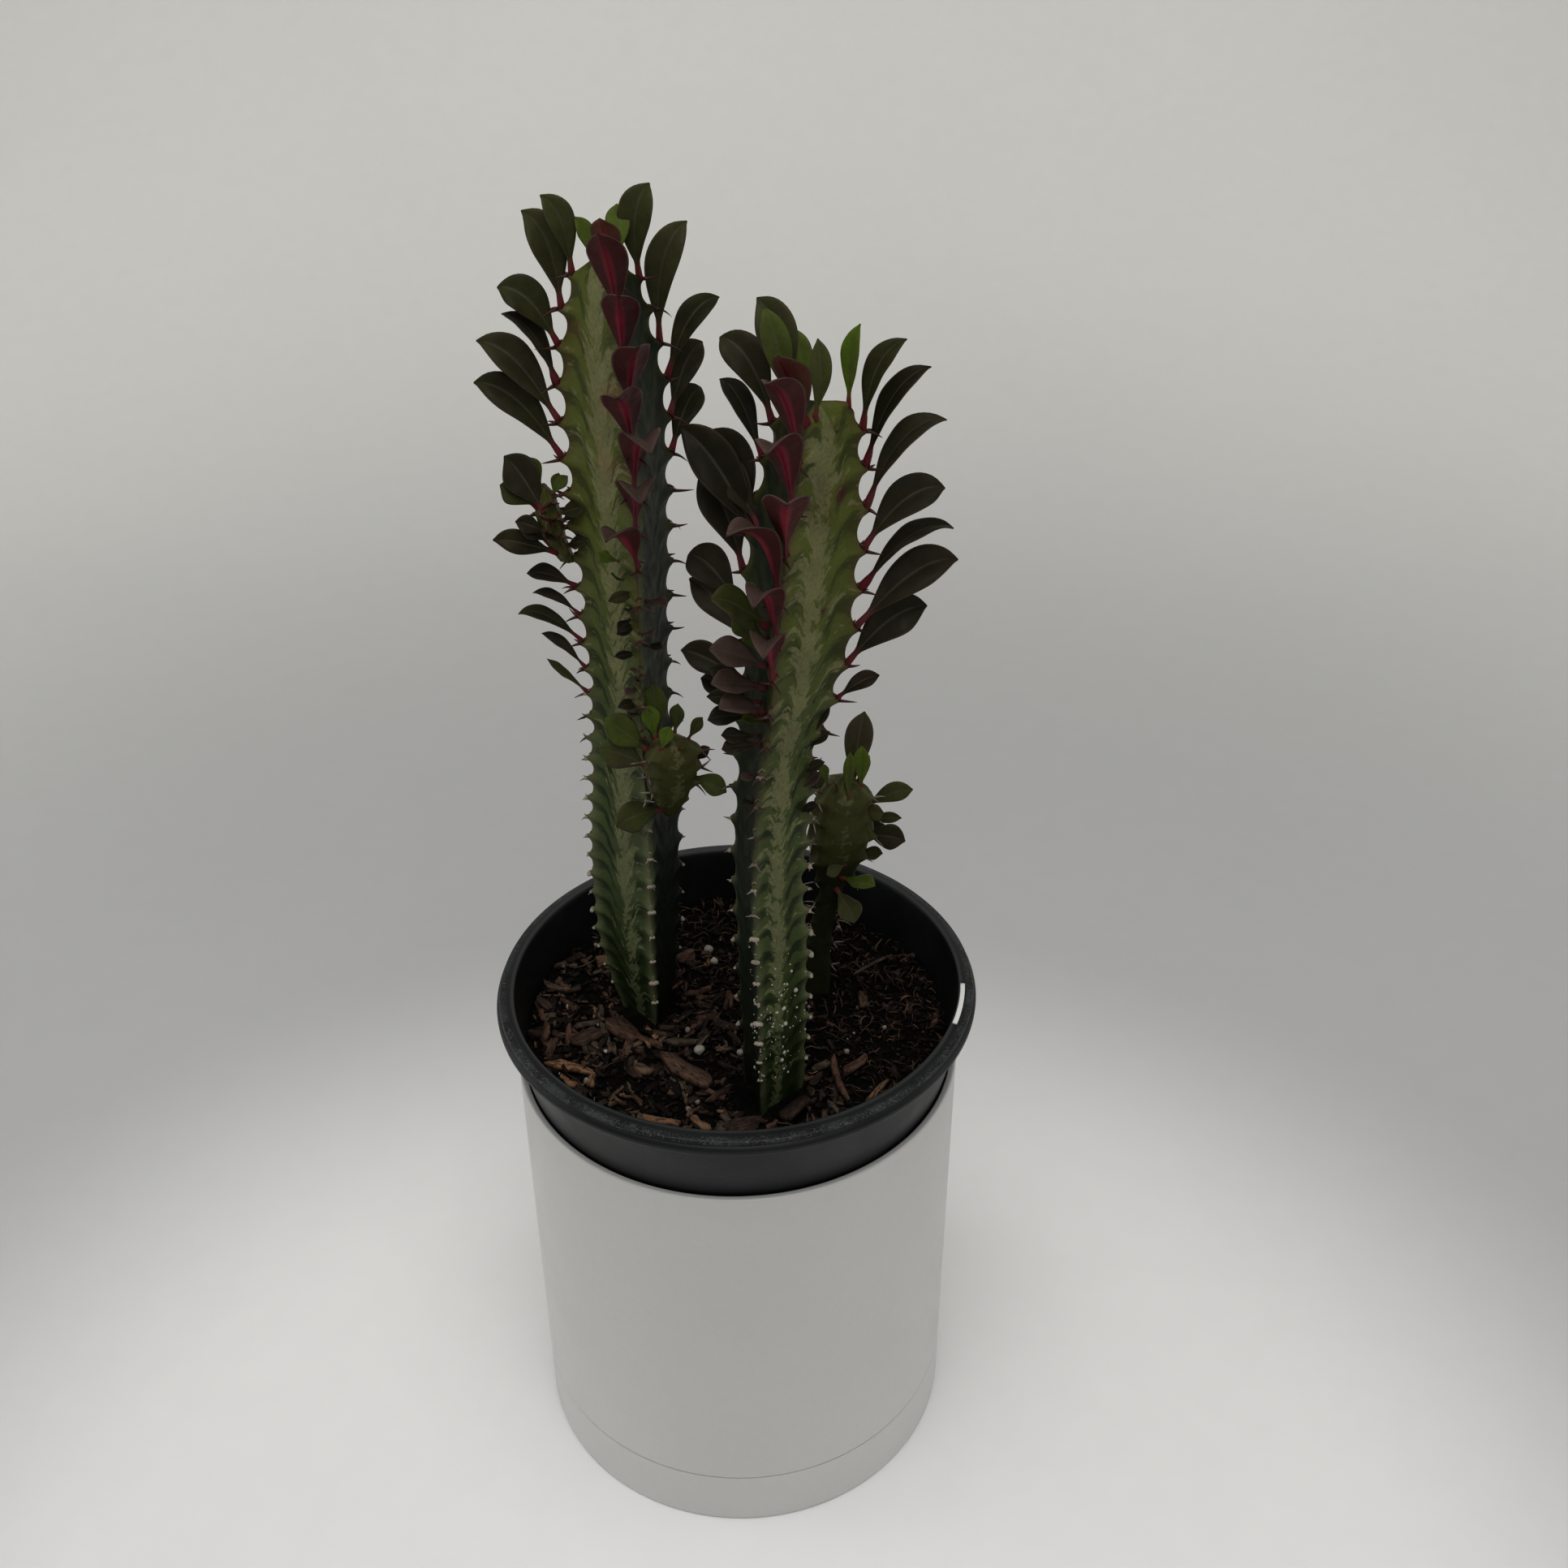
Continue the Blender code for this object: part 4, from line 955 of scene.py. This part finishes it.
def makeLeafSkin(look):
    # dark or lime top with a light midrib, wine underside with a pink midrib, red stalk
    skin = Skin("leafSkin", Specular_IOR_Level=0.10)
    under, span, along, tone, shade = skin.tags("under", "span", "along", "tone", "shade")
    tone = tone + (skin.noise(130.0, 4.0, 0.6) - 0.5) * 0.35
    low, high = tone.ramp(0.0, 0.45), tone.ramp(0.45, 0.95)
    top = mixed(high, mixed(low, look["topDark"], look["topOlive"]), look["topLime"])
    top = mixed(tone.ramp(-0.35, -0.10, 1.0, 0.0), top, look["topWine"])
    top = mixed(skin.noise(75.0).ramp(0.50, 0.72) * 0.45, top, look["topBlush"])
    below = mixed(high, mixed(low, look["underDark"], look["underBrown"]), look["underLime"])
    centre = span + along * 0.05
    veinTop = centre.ramp(0.04, 0.13, 0.55, 0.0) * along.ramp(0.80, 0.97, 1.0, 0.2)
    veinUnder = centre.ramp(0.13, 0.38, 0.95, 0.0) * along.ramp(0.55, 1.0, 1.0, 0.12)
    rimLine = span.ramp(0.86, 0.97, 0.0, 0.45)
    top = mixed(rimLine, mixed(veinTop, top, look["veinTop"]), look["rimPale"])
    below = mixed(veinUnder * tone.ramp(0.3, 0.8, 1.0, 0.15), below, look["veinUnder"])
    below = mixed(rimLine * 0.6, below, look["rimPale"])
    side = under.ramp(0.35, 0.65)
    colour = mixed(side, top, below)
    colour = mixed((along + side * -0.12).ramp(0.06, 0.24, 0.92, 0.0), colour, look["stalkRed"])
    colour = mixed(along.ramp(0.975, 0.995, 0.0, 0.7), colour, look["point"])
    colour = mixed(shade.ramp(0.0, 1.0, 0.0, 0.16), colour, look["faded"])
    colour, height = skin.mottled(colour, 210.0, 1400.0, 0.14)
    return skin.finish(colour, skin.patchy(320.0, 0.40, 0.56), height, 0.16, 0.0003)


def makeRibLeaves(skin, look):
    seed = 100
    for (stem, rib, ribNumber), rows in leafRows.items():
        plan = stemPlans["stem_" + stem]
        ribPlan = plan["ribs"][ribNumber]
        heights = toothHeights(ribPlan)
        out = levelWay(math.radians(ribPlan[0]))
        for tooth, length, width, swing, rise, roll, tone, arch in rows:
            seed += 1
            at = np.minimum(heights[tooth:tooth + 1], plan["knots"][-1][0] - 0.0036)
            middle, radius = stemMiddle(plan, at)
            inset = 0.0014 + heights[tooth] - at[0]
            start = middle[0] + out * (radius[0] * domeFactor(plan, at)[0] - inset)
            start = start + skyward * look["aboveTooth"]
            shape = leafShape(start, stemTrees["stem_" + stem],
                              (length + 1.2, width, ribPlan[0] + swing, rise, roll), tone, arch,
                              look["frontFold" if rib == "front" else "fold"], look, seed)
            node = f"leaf_{stem}_{rib}_{tooth + 1:02d}"
            addPiece(camelName(node), shape, skin, [node])


# young leaves at the tips and on the shoots. Rows: height over the soil (mm), bearing round the stem,
# length, width (mm), heading, rise, roll (degrees), tone, fold
youngLeaves = {
    "stem_left": [
        (260, 39, 15, 7, 91, 62, 4, 1.0, 10), (176, 255, 6, 4, 195, 41, -70, 0.9, 14),
        (170, 262, 5, 3, 230, 50, -30, 0.6, 14), (167, 288, 10, 4, 217, -8, -56, 0.25, 20),
        (156, 287, 8, 4, 216, -6, -50, 0.05, 20), (160, 280, 5, 3, 240, 30, -20, 0.7, 20),
        (146, 286, 8, 3, 209, 4, -61, 0.0, 20), (129, 293, 9, 4, 214, 0, -50, 0.1, 20),
        (137, 290, 5, 3, 250, 20, -20, 0.1, 20), (163, 300, 9, 5, 320, 10, 20, -0.3, 24),
        (152, 292, 8, 5, 300, 25, 10, -0.35, 24), (158, 276, 7, 4, 235, -10, -30, 0.0, 20),
        (141, 284, 7, 5, 270, 15, 0, -0.35, 22), (134, 280, 6, 4, 240, 5, -20, -0.3, 22),
        (148, 300, 6, 4, 330, 10, 20, 0.0, 20), (125, 282, 6, 4, 250, 15, 0, -0.2, 20),
        (118, 288, 5, 3, 300, 25, 0, 0.0, 20)],
    "stem_right": [
        (234, 195, 27, 8, 112, 74, -12, 0.62, 16), (193, 142, 38, 14, 152, 44, -50, 0.0, 24),
        (232, 97, 20, 6, 119, 63, -29, 0.85, 14), (234, 278, 20, 6, 118, 80, -30, 0.60, 16),
        (228, 23, 5, 2, 35, 76, 50, 0.8, 12), (228, 330, 7, 3, 330, 70, 20, 0.8, 12),
        (171, 231, 11, 7, 169, 46, -62, 0.6, 12), (167, 225, 8, 4, 155, 68, -56, 0.95, 12),
        (184, 230, 7, 3, 181, 42, -70, 0.85, 12), (151, 221, 13, 5, 182, 11, -61, 0.1, 14),
        (197, 145, 28, 11, 139, 38, -45, 0.0, 24), (161, 141, 28, 11, 141, 30, -45, 0.05, 24),
        (150, 150, 22, 10, 160, 15, -50, 0.05, 24), (142, 137, 18, 9, 150, 20, -50, 0.0, 24),
        (140, 225, 9, 5, 200, 10, -50, 0.1, 16), (146, 240, 8, 4, 215, 30, -40, 0.7, 16),
        (134, 8, 13, 5, 29, 55, 49, 0.05, 18), (130, 12, 9, 4, 10, 40, 49, 0.1, 18),
        (126, 14, 10, 3, 30, 62, 40, 0.35, 18), (122, 10, 8, 4, 350, 30, 40, 0.1, 18),
        (176, 236, 20, 12, 196, 40, -30, 0.5, 20), (164, 240, 17, 10, 190, 25, -40, -0.35, 26),
        (157, 236, 15, 9, 200, 15, -30, -0.3, 24), (150, 243, 16, 10, 215, 20, -20, -0.4, 26),
        (146, 214, 12, 7, 190, 5, -40, 0.0, 22), (138, 236, 10, 6, 190, 0, -40, 0.0, 22),
        (154, 205, 12, 7, 170, 35, -40, 0.0, 22), (128, 246, 7, 4, 225, 15, -20, -0.3, 20),
        (119, 246, 6, 4, 230, 15, -10, 0.0, 20), (116, 12, 8, 5, 20, 35, 30, -0.3, 20),
        (108, 14, 7, 4, 350, 25, 30, 0.0, 18)],
    "shoot_small": [
        (192, 120, 10, 6, 145, 61, -42, 0.80, 12), (190, 10, 7, 4, 52, 60, 42, 0.80, 12),
        (191, 330, 8, 4, 10, 50, 60, 0.75, 12), (186, 250, 20, 12, 160, 52, -59, 0.10, 20),
        (187, 190, 13, 9, 177, 34, -65, 0.40, 14), (180, 240, 10, 6, 191, 24, -69, 0.0, 20),
        (173, 230, 19, 8, 190, 12, -60, 0.12, 20), (182, 350, 11, 6, 2, 34, 60, 0.25, 18),
        (178, 300, 8, 5, 250, 20, -30, 0.1, 18), (185, 330, 10, 6, 345, 22, 50, 0.2, 18),
        (176, 200, 11, 7, 196, 40, -50, 0.0, 20), (183, 280, 9, 6, 265, 30, -10, 0.05, 18),
        (180, 10, 8, 5, 20, 10, 50, 0.0, 18), (175, 330, 9, 6, 330, 25, 40, 0.1, 18)],
    "shoot_side": [
        (120, 150, 17, 8, 77, 70, 15, 0.62, 10), (120, 160, 11, 6, 118, 75, -21, 0.95, 10),
        (121, 242, 8, 5, 30, 64, 54, 0.9, 10), (120, 300, 6, 4, 300, 60, 10, 0.7, 12),
        (119, 20, 8, 4, 20, 50, 50, 0.5, 14), (119, 80, 9, 5, 60, 65, 20, 0.6, 12),
        (119, 210, 7, 4, 215, 60, -40, 0.6, 12), (115, 176, 17, 10, 179, 34, -61, 0.62, 8),
        (109, 182, 18, 10, 189, 28, -63, 0.55, 8), (106, 352, 13, 7, 340, -12, 53, 0.60, 8),
        (112, 355, 7, 4, 10, 30, 50, 0.2, 16), (91, 230, 18, 10, 211, 2, -54, 0.50, 8)],
    "stem_short": [
        (76, 60, 28, 10, 75, 58, 10, 0.22, 14), (82, 345, 15, 6, 69, 74, 16, 0.9, 12),
        (81, 285, 16, 4, 98, 68, -9, 0.75, 12), (84, 200, 8, 4, 140, 65, -20, 0.7, 12),
        (84, 20, 9, 4, 20, 60, 40, 0.6, 12), (84, 250, 6, 3, 240, 60, -30, 0.4, 12),
        (74, 359, 18, 7, 6, 26, 56, 0.40, 10), (73, 327, 8, 6, 349, 22, 60, 0.45, 10),
        (68, 359, 13, 4, 351, 14, 58, 0.30, 12), (64, 348, 15, 9, 341, 0, 55, 0.12, 10),
        (56, 348, 9, 5, 340, 5, 56, 0.30, 12), (47, 300, 13, 9, 335, 6, 4, 0.80, 10),
        (42, 300, 13, 11, 312, -34, 0, 0.36, 10), (54, 300, 8, 5, 205, -6, -49, 0.40, 12),
        (60, 20, 10, 5, 20, 20, 50, 0.1, 14), (70, 128, 12, 6, 120, 40, -20, 0.2, 14)],
}


def makeYoungLeaves(skin, look):
    seed = 500
    for node, rows in youngLeaves.items():
        plan = stemPlans[node]
        shapes = []
        for height, bearing, *row, tone, fold in rows:
            seed += 1
            at = np.minimum(np.array([height * 0.001]), plan["knots"][-1][0] - 0.0015)
            middle, radius = stemMiddle(plan, at)
            start = middle[0] + levelWay(math.radians(bearing)) * radius[0] * 0.62
            shapes.append(leafShape(start, stemTrees[node], row, tone, look["youngArch"], fold, look, seed))
        addPiece("youngLeaves" + node.split("_")[1].capitalize(), joined(shapes), skin)


leafSkin = makeLeafSkin(leafLook)
makeRibLeaves(leafSkin, leafLook)
makeYoungLeaves(leafSkin, leafLook)
print("leaves ready")


# soil and the loose bits on it

soilLook = {
    "radius": 0.0739, "bottomRadius": 0.0700, "depth": 0.020, "edgeDrop": 0.0015,
    "rings": 160, "spokes": 380, "lump": 0.0040, "pit": 0.0034,
    "fibres": 900, "perlite": 60,
    "peat": (0.0030, 0.0024, 0.0020), "brownPeat": (0.014, 0.009, 0.006), "thread": (0.060, 0.040, 0.026),
    "perliteGrey": (0.22, 0.19, 0.16), "perliteWhite": (0.44, 0.42, 0.37),
    # kinds of scattered flake: name, slot, where, count, seed, shortest, longest, slimmest and widest
    # for the length, and the two powers that spread its tone
    "flakes": [("largeBark", "bark", "chip", 170, 21, 0.0065, 0.0150, 0.16, 0.42, (1.1, 1.1)),
               ("smallBark", "bark", "chip", 700, 22, 0.0022, 0.0068, 0.18, 0.62, (0.75, 1.5)),
               ("soilCrumbs", "potting_mix", "even", 2000, 33, 0.0010, 0.0030, 0.25, 0.80, (0.5, 3.2))],
}


def soilSurface(x, y):
    # a low crown with lumps at several sizes and pits between them
    flat = np.stack([x, y, np.zeros_like(x)], -1)
    lumps = layeredCloud(flat, 0.013, 5, 4) - 0.5
    grit = np.abs(layeredCloud(flat, 0.0028, 9, 2) - 0.5)
    drop = soilLook["edgeDrop"] * (np.sqrt(x ** 2 + y ** 2) / soilLook["radius"]) ** 2
    return soilTop - 0.0006 - drop + soilLook["lump"] * lumps - soilLook["pit"] * grit


def makeSoilBody(look):
    # polar grid over the surface, then a wall and a flat base under it
    far = np.linspace(0.0, 1.0, look["rings"])[1:, None, None] ** 0.8 * look["radius"]
    way = levelWay(fullTurn(look["spokes"]))
    top = way * far
    top[..., 2] = soilSurface(top[..., 0], top[..., 1])
    side = way[None] * look["bottomRadius"] + skyward * (soilTop - look["depth"])
    inner = side * np.array([0.02, 0.02, 1.0])
    return tubeShape(np.concatenate([top, side, inner]))


def makeSoilSkin(look):
    # near-black peat with a few brown threads of fibre
    skin = Skin("pottingMix", Specular_IOR_Level=0.08)
    split = skin.noise(210.0, 6.0, 0.7)
    threads = skin.noise(520.0, 2.0).ramp(0.68, 0.74) * 0.45
    colour = mixed(threads, mixed(split.ramp(0.46, 0.70), look["peat"], look["brownPeat"]), look["thread"])
    colour, height = skin.mottled(colour, 150.0, 1100.0, 0.35)
    return skin.finish(colour, split.ramp(0.3, 0.7, 0.85, 1.0), height + split, 0.9, 0.0016)


def clearOfStems(x, y, room):
    keep = np.sqrt(x ** 2 + y ** 2) < soilLook["radius"] - 0.0015
    for node in ("stem_left", "stem_right", "stem_short"):
        knot = stemPlans[node]["knots"][1]
        keep &= np.hypot(x - knot[1], y - knot[2]) > knot[3] + room
    return keep


def scatter(count, seed, kind):
    # even over the disc, then thinned: chips lie mostly to the left and front, fibres opposite
    random = np.random.default_rng(seed)
    far = np.sqrt(random.uniform(0.0, 1.0, count)) * soilLook["radius"]
    angle = random.uniform(0.0, math.tau, count)
    x, y = far * np.cos(angle), far * np.sin(angle)
    chipSide = smoothStep(-0.75 * x - 0.65 * y, -0.030, 0.022)
    share = {"chip": 0.07 + 0.93 * chipSide, "fibre": 1.0 - 0.85 * chipSide, "even": 0.55 + 0.0 * x}[kind]
    keep = (random.uniform(0.0, 1.0, count) < share) & clearOfStems(x, y, 0.0006)
    return x[keep], y[keep], random


def flakes(x, y, length, width, thick, turn, tip, bank, hue, random, lift=0.0, square=0.45):
    # splinters: a boxy eight-cornered outline at two levels, corners nudged, then bent along its
    # length, turned and tipped; the tags carry each corner's own place along and across the grain
    count = len(x)
    circle = levelWay(fullTurn(8, 0.5))[:, :2]
    outline = np.sign(circle) * np.abs(circle) ** square
    stretch = random.uniform(0.62, 1.10, (count, 8, 2))
    plan = outline[None] * stretch * np.stack([length, width], -1)[:, None, :] * 0.5
    warp = random.normal(0.0, 1.0, (count, 8)) * thick[:, None] * 0.30
    bend = (random.normal(0.0, 0.22, count) / 0.02)[:, None] * plan[..., 0] ** 2
    levels = []
    for side, shrink in ((-0.5, 1.0), (0.5, 0.88)):
        levels.append(np.stack([plan[..., 0] * (0.5 + 0.5 * shrink), plan[..., 1] * shrink,
                                warp + bend + side * thick[:, None]], -1))
    body = np.stack(levels, 1)
    body = np.concatenate([body.reshape(count, 16, 3), body.mean(2)], 1)
    place = [body[..., axis] for axis in range(3)]
    # banked about its length, tipped about its width, then turned on the ground
    for angle, first, second in ((bank, 1, 2), (tip, 0, 2), (turn, 0, 1)):
        c, s = np.cos(angle)[:, None], np.sin(angle)[:, None]
        a, b = place[first], place[second]
        place[first], place[second] = a * c - b * s, a * s + b * c
    ground = soilSurface(x, y) - 0.30 * place[2].min(1) + lift
    px, py = place[0] + x[:, None], place[1] + y[:, None]
    squeeze = np.minimum(1.0, (soilLook["radius"] - 0.0004) / np.hypot(px, py))
    points = np.stack([px * squeeze, py * squeeze, place[2] + ground[:, None]], -1)
    c = np.arange(8)
    n = (c + 1) % 8
    quads = np.stack([c, n, n + 8, c + 8], -1)
    under, over = np.full(8, 16), np.full(8, 17)
    tris = np.concatenate([np.stack([under, n, c], -1), np.stack([over, c + 8, n + 8], -1)])
    starts = (np.arange(count) * 18)[:, None, None]
    return {"points": points.reshape(-1, 3), "quads": (quads[None] + starts).reshape(-1, 4),
            "tris": (tris[None] + starts).reshape(-1, 3),
            "tags": {"hue": np.repeat(hue, 18), "grainAlong": body[..., 0].ravel(),
                     "grainAcross": body[..., 1].ravel()}}


barkLook = {
    "base": (0.0045, 0.0034, 0.0029), "seam": (0.016, 0.009, 0.007), "ridge": (0.230, 0.160, 0.105),
    # where in the flakes' numbers each lighter tone begins and is full, and the tone
    "tones": [(0.08, 0.34, (0.044, 0.029, 0.022)), (0.40, 0.62, (0.112, 0.062, 0.043)),
              (0.66, 0.78, (0.105, 0.082, 0.058)), (0.86, 0.98, (0.270, 0.150, 0.085))],
}


def makeBarkSkin(look):
    # bark in five tones by the flake's own number, with grain drawn out along its length
    skin = Skin("barkChip", Specular_IOR_Level=0.15)
    hue, along, across = skin.tags("hue", "grainAlong", "grainAcross")
    grain = skin.noise(1300.0, 4.0, 0.6, skin.vector(along * 0.22, across, hue * 0.31))
    colour = look["base"]
    for begins, full, tone in look["tones"]:
        colour = mixed(hue.ramp(begins, full), colour, tone)
    colour = mixed(grain.ramp(0.46, 0.62) * 0.68, colour, look["seam"])
    colour = mixed(grain.ramp(0.42, 0.28) * 0.35, colour, look["ridge"])
    colour, height = skin.mottled(colour, 260.0, 1300.0, 0.28)
    return skin.finish(colour, grain.ramp(0.3, 0.7, 0.7, 0.95), height + grain, 0.6, 0.0005)


# chips given one by one: name, length, width, thickness, x, y (mm), turn, tip, bank (degrees), hue, lift (mm)
knownChips = [
    ("bark_chip_1", 19, 10, 1.4, 20.5, -47.2, 58, -8, -24, 0.44, 1.6),
    ("bark_chip_2", 27, 9, 1.8, -15.6, -31.8, 134, -4, 16, 0.70, 1.8),
    ("bark_chip_3", 22, 3.6, 1.6, -55.6, -26.2, 165, 2, 6, 0.97, 1.6),
    ("redFlake", 12, 7, 0.9, -67.0, -10.0, 95, 6, -58, 0.58, 1.8),
    ("centreBar", 14, 4, 1.6, -18.4, -14.6, 178, 0, 10, 0.80, 1.6),
    ("rightSliver", 23, 3.4, 1.3, 34.4, -35.2, 104, 5, 30, 0.62, 2.0),
    ("rightEdgeSliver", 16, 3.0, 1.2, 47.0, -39.2, 58, -4, 10, 0.92, 1.0),
    ("rightBar", 13, 4.5, 1.3, 40.0, -27.0, 38, 6, 10, 0.60, 1.4),
    ("leftBlock", 17, 12, 1.6, -39.8, -7.6, 142, 10, 14, 0.55, 1.8),
    ("leftSliver", 15, 3.2, 1.3, -65.0, 14.2, 147, -8, 10, 0.74, 2.0),
    ("frontPaleBar", 11, 4.0, 1.5, -10.6, -54.2, 134, 6, 10, 0.93, 1.6),
    ("frontBar", 9, 4.0, 1.5, -2.8, -54.8, 30, 4, 10, 0.82, 1.4),
    ("frontSliver", 10, 3.0, 1.2, -55.7, -35.0, 133, 0, 10, 0.95, 1.6),
    ("frontLongSliver", 16, 2.6, 1.2, -25.2, -53.0, 166, 3, 6, 0.94, 1.4),
    ("paleBlock", 8, 5, 1.5, -31.5, -28.6, 150, 0, 10, 0.90, 2.2),
    ("darkFlake", 15, 8, 1.2, 3.0, -55.0, 20, 0, 20, 0.46, 1.2),
    ("leftDarkBlock", 13, 8, 1.6, -52.0, -13.0, 20, 8, 16, 0.48, 1.2),
    ("backFlake", 9, 6, 1.2, -20.0, 33.5, 30, 8, 20, 0.56, 1.6),
    ("straw", 27, 1.1, 0.9, 49.4, 28.4, 40.5, -4, 0, 0.86, 1.6)]


def makeLooseBits(look):
    bark = makeBarkSkin(barkLook)
    extras = []
    for number, (name, *sizes, turn, tip, bank, hue, lift) in enumerate(knownChips):
        random = np.random.default_rng(number + 40)
        length, width, thick, x, y = (np.array([value]) * 0.001 for value in sizes)
        angles = (np.radians([value]) for value in (turn, tip, bank))
        one = flakes(x, y, length, width, thick, *angles, np.array([hue]), random, lift * 0.001, 0.75)
        if name.startswith("bark_chip"):
            addPiece(camelName(name), one, bark, [name], False)
        else:
            extras.append(one)
    addPiece("knownChips", joined(extras), bark, (), False)
    for name, slot, kind, count, seed, low, high, slim, fat, hues in look["flakes"]:
        x, y, random = scatter(count * 2, seed, kind)
        count = len(x)
        length = low + (high - low) * random.beta(1.2, 2.2, count)
        if name == "largeBark":
            near = np.maximum(1e-6, np.hypot(x, y))
            pull = np.minimum(1.0, (look["radius"] - 0.35 * length) / near)
            x, y = x * pull, y * pull
        shape = flakes(x, y, length, length * random.uniform(slim, fat, count),
                       np.minimum(length * 0.30, random.uniform(0.0005, 0.0016, count)),
                       random.uniform(0, math.tau, count), random.normal(0.0, 0.26, count),
                       random.normal(0.0, 0.46, count), random.beta(*hues, count), random, 0.0005)
        addPiece(name, shape, bark, (), False)
    addPiece("soilFibres", makeFibres(look), bark)
    addPiece("perliteGrains", makePerlite(look), makePerliteSkin(look))


def makeFibres(look):
    # thin bent strands, mostly on the finer side of the pot
    x, y, random = scatter(look["fibres"] * 2, 55, "fibre")
    count = len(x)
    t = np.linspace(-1.0, 1.0, 5)
    length = random.lognormal(0.0, 0.45, count)[:, None] * 0.0024
    turn = random.uniform(0, math.tau, count)
    bow = random.normal(0.0, 0.3, count)[:, None]
    lift = random.uniform(0.0, 0.0009, count)[:, None]
    way = levelWay(turn)[:, None, :]
    side = levelWay(turn + math.pi / 2)[:, None, :]
    line = (np.stack([x, y, 0.0 * x], -1)[:, None, :] + way * (t * length)[..., None]
            + side * (bow * t ** 2 * length)[..., None])
    far = np.hypot(line[..., 0], line[..., 1])
    line = line * np.minimum(1.0, (look["radius"] - 0.001) / np.maximum(1e-6, far))[..., None]
    slant = random.normal(0.0, 0.25, count)[:, None] * t * length
    line[..., 2] = soilSurface(line[..., 0], line[..., 1]) + lift + 0.0007 * (1.0 - t ** 2) + 0.0004 + slant
    around = fullTurn(4)[:, None]
    size = random.uniform(0.00012, 0.00036, count)[:, None] * (1.0 - 0.6 * t ** 2)
    ring = side[:, None] * np.cos(around) + skyward * np.sin(around)
    rings = line[:, :, None, :] + ring * size[:, :, None, None]
    hue = random.beta(1.6, 1.7, count)
    return joined([tubeShape(one, {"hue": tone, "grainAlong": t[:, None] * half, "grainAcross": 0.0})
                   for one, tone, half in zip(rings, hue, length)])


# grains that stand out: x, y, size (mm); the rest are scattered
knownPerlite = [
    (-11.6, 37.7, 1.7), (-9.2, 29.8, 1.3), (-12.6, -20.1, 1.7), (1.3, -19.4, 1.3), (37.6, -21.3, 1.0),
    (-60.0, 5.0, 1.0), (-50.0, -33.0, 1.1)]


def makePerlite(look):
    # knobbly white grains: a small ball whose radius is a noise
    x, y, random = scatter(look["perlite"] * 2, 77, "even")
    size = np.clip(random.lognormal(0.0, 0.5, len(x)) * 0.00045, 0.00025, 0.0012)
    known = np.array(knownPerlite) * 0.001
    rest = np.repeat([0.0003, 0.0009], [len(x), len(known)])
    x, y, size = (np.concatenate([a, b]) for a, b in zip((x, y, size), known.T))
    ball = unitBall(7, 10, 0.25)
    centres = np.stack([x, y, soilSurface(x, y) + size * 0.5 + rest], -1)
    shapes = []
    for k, centre in enumerate(centres):
        grain = ball * (0.72 + 0.55 * cloudValue(ball + k * 3.7, 0.8, 8))[..., None] * size[k]
        shapes.append(tubeShape(grain + centre, {"hue": random.uniform()}))
    return joined(shapes)


def makePerliteSkin(look):
    skin = Skin("perlite", Specular_IOR_Level=0.2)
    colour = mixed(skin.tags("hue")[0], look["perliteGrey"], look["perliteWhite"])
    colour, height = skin.mottled(colour, 500.0, 2200.0, 0.22)
    return skin.finish(colour, skin.patchy(900.0, 0.7, 0.9), height, 0.5, 0.0004)


addPiece("soilBody", makeSoilBody(soilLook), makeSoilSkin(soilLook), ["potting_mix"])
makeLooseBits(soilLook)
print("soil ready")


# plant tag on the lip, and dust on the lower right stem

tagLook = {"bearing": (-20.3, -4.6), "radius": 0.0779, "height": 0.1941, "width": 0.0016,
           "thickness": 0.0007, "white": (0.80, 0.80, 0.78)}

dustLook = {"count": 120, "lowest": 0.006, "spread": 0.062, "bearing": (215.0, 375.0),
            "size": 0.00028, "sizeLimits": (0.00018, 0.0009)}


def makePlantTag(look):
    # a thin white strip lying on the lip: a small rounded box carried along an arc of the rim
    out = levelWay(np.radians(np.linspace(*look["bearing"], 16)))[:, None, :]
    circle = levelWay(fullTurn(12, 0.5))[:, :2]
    across, up = (np.sign(circle) * np.abs(circle) ** 0.4 * 0.5).T[..., None]
    rings = out * (look["radius"] + across * look["width"])
    rings = rings + skyward * (look["height"] + up * look["thickness"])
    skin = Skin("tagPlastic", Roughness=0.45)
    material = skin.finish(skin.mottled(look["white"], 90.0, 700.0, 0.05)[0])
    addPiece("plantTag", tubeShape(rings), material)


def makeDust(look):
    # white specks of perlite dust that stuck to the right stem: tiny balls on its skin
    random = np.random.default_rng(91)
    plan, count = stemPlans["stem_right"], look["count"]
    height = look["lowest"] + look["spread"] * random.beta(1.6, 2.0, count)
    bearing = np.radians(random.uniform(*look["bearing"], count))
    middle, radius = stemMiddle(plan, height)
    ribs = np.radians(np.array([rib[0] for rib in plan["ribs"]]))
    away = np.abs((bearing[:, None] - ribs + math.pi) % math.tau - math.pi).min(1)
    halfRib = math.radians(stemLook["halfRib"])
    face = stemLook["face"] * radius / np.cos(np.clip(halfRib - away, 0.0, None))
    ridge = (radius - face) * np.exp(-(np.degrees(away) / stemLook["ridgeWidth"]) ** 1.25)
    centre = middle + levelWay(bearing) * (face + 0.5 * ridge)[:, None]
    centre = [seated(stemTrees["stem_right"], one, 0.0) for one in centre]
    ball = unitBall(4, 6, 0.4)
    size = np.clip(random.lognormal(0.0, 0.5, count) * look["size"], *look["sizeLimits"])
    shapes = [tubeShape(ball * girth + spot, {"hue": 1.0}) for girth, spot in zip(size, centre)]
    addPiece("perliteDust", joined(shapes), bpy.data.materials["perlite"])


makePlantTag(tagLook)
makeDust(dustLook)
print("small parts ready")
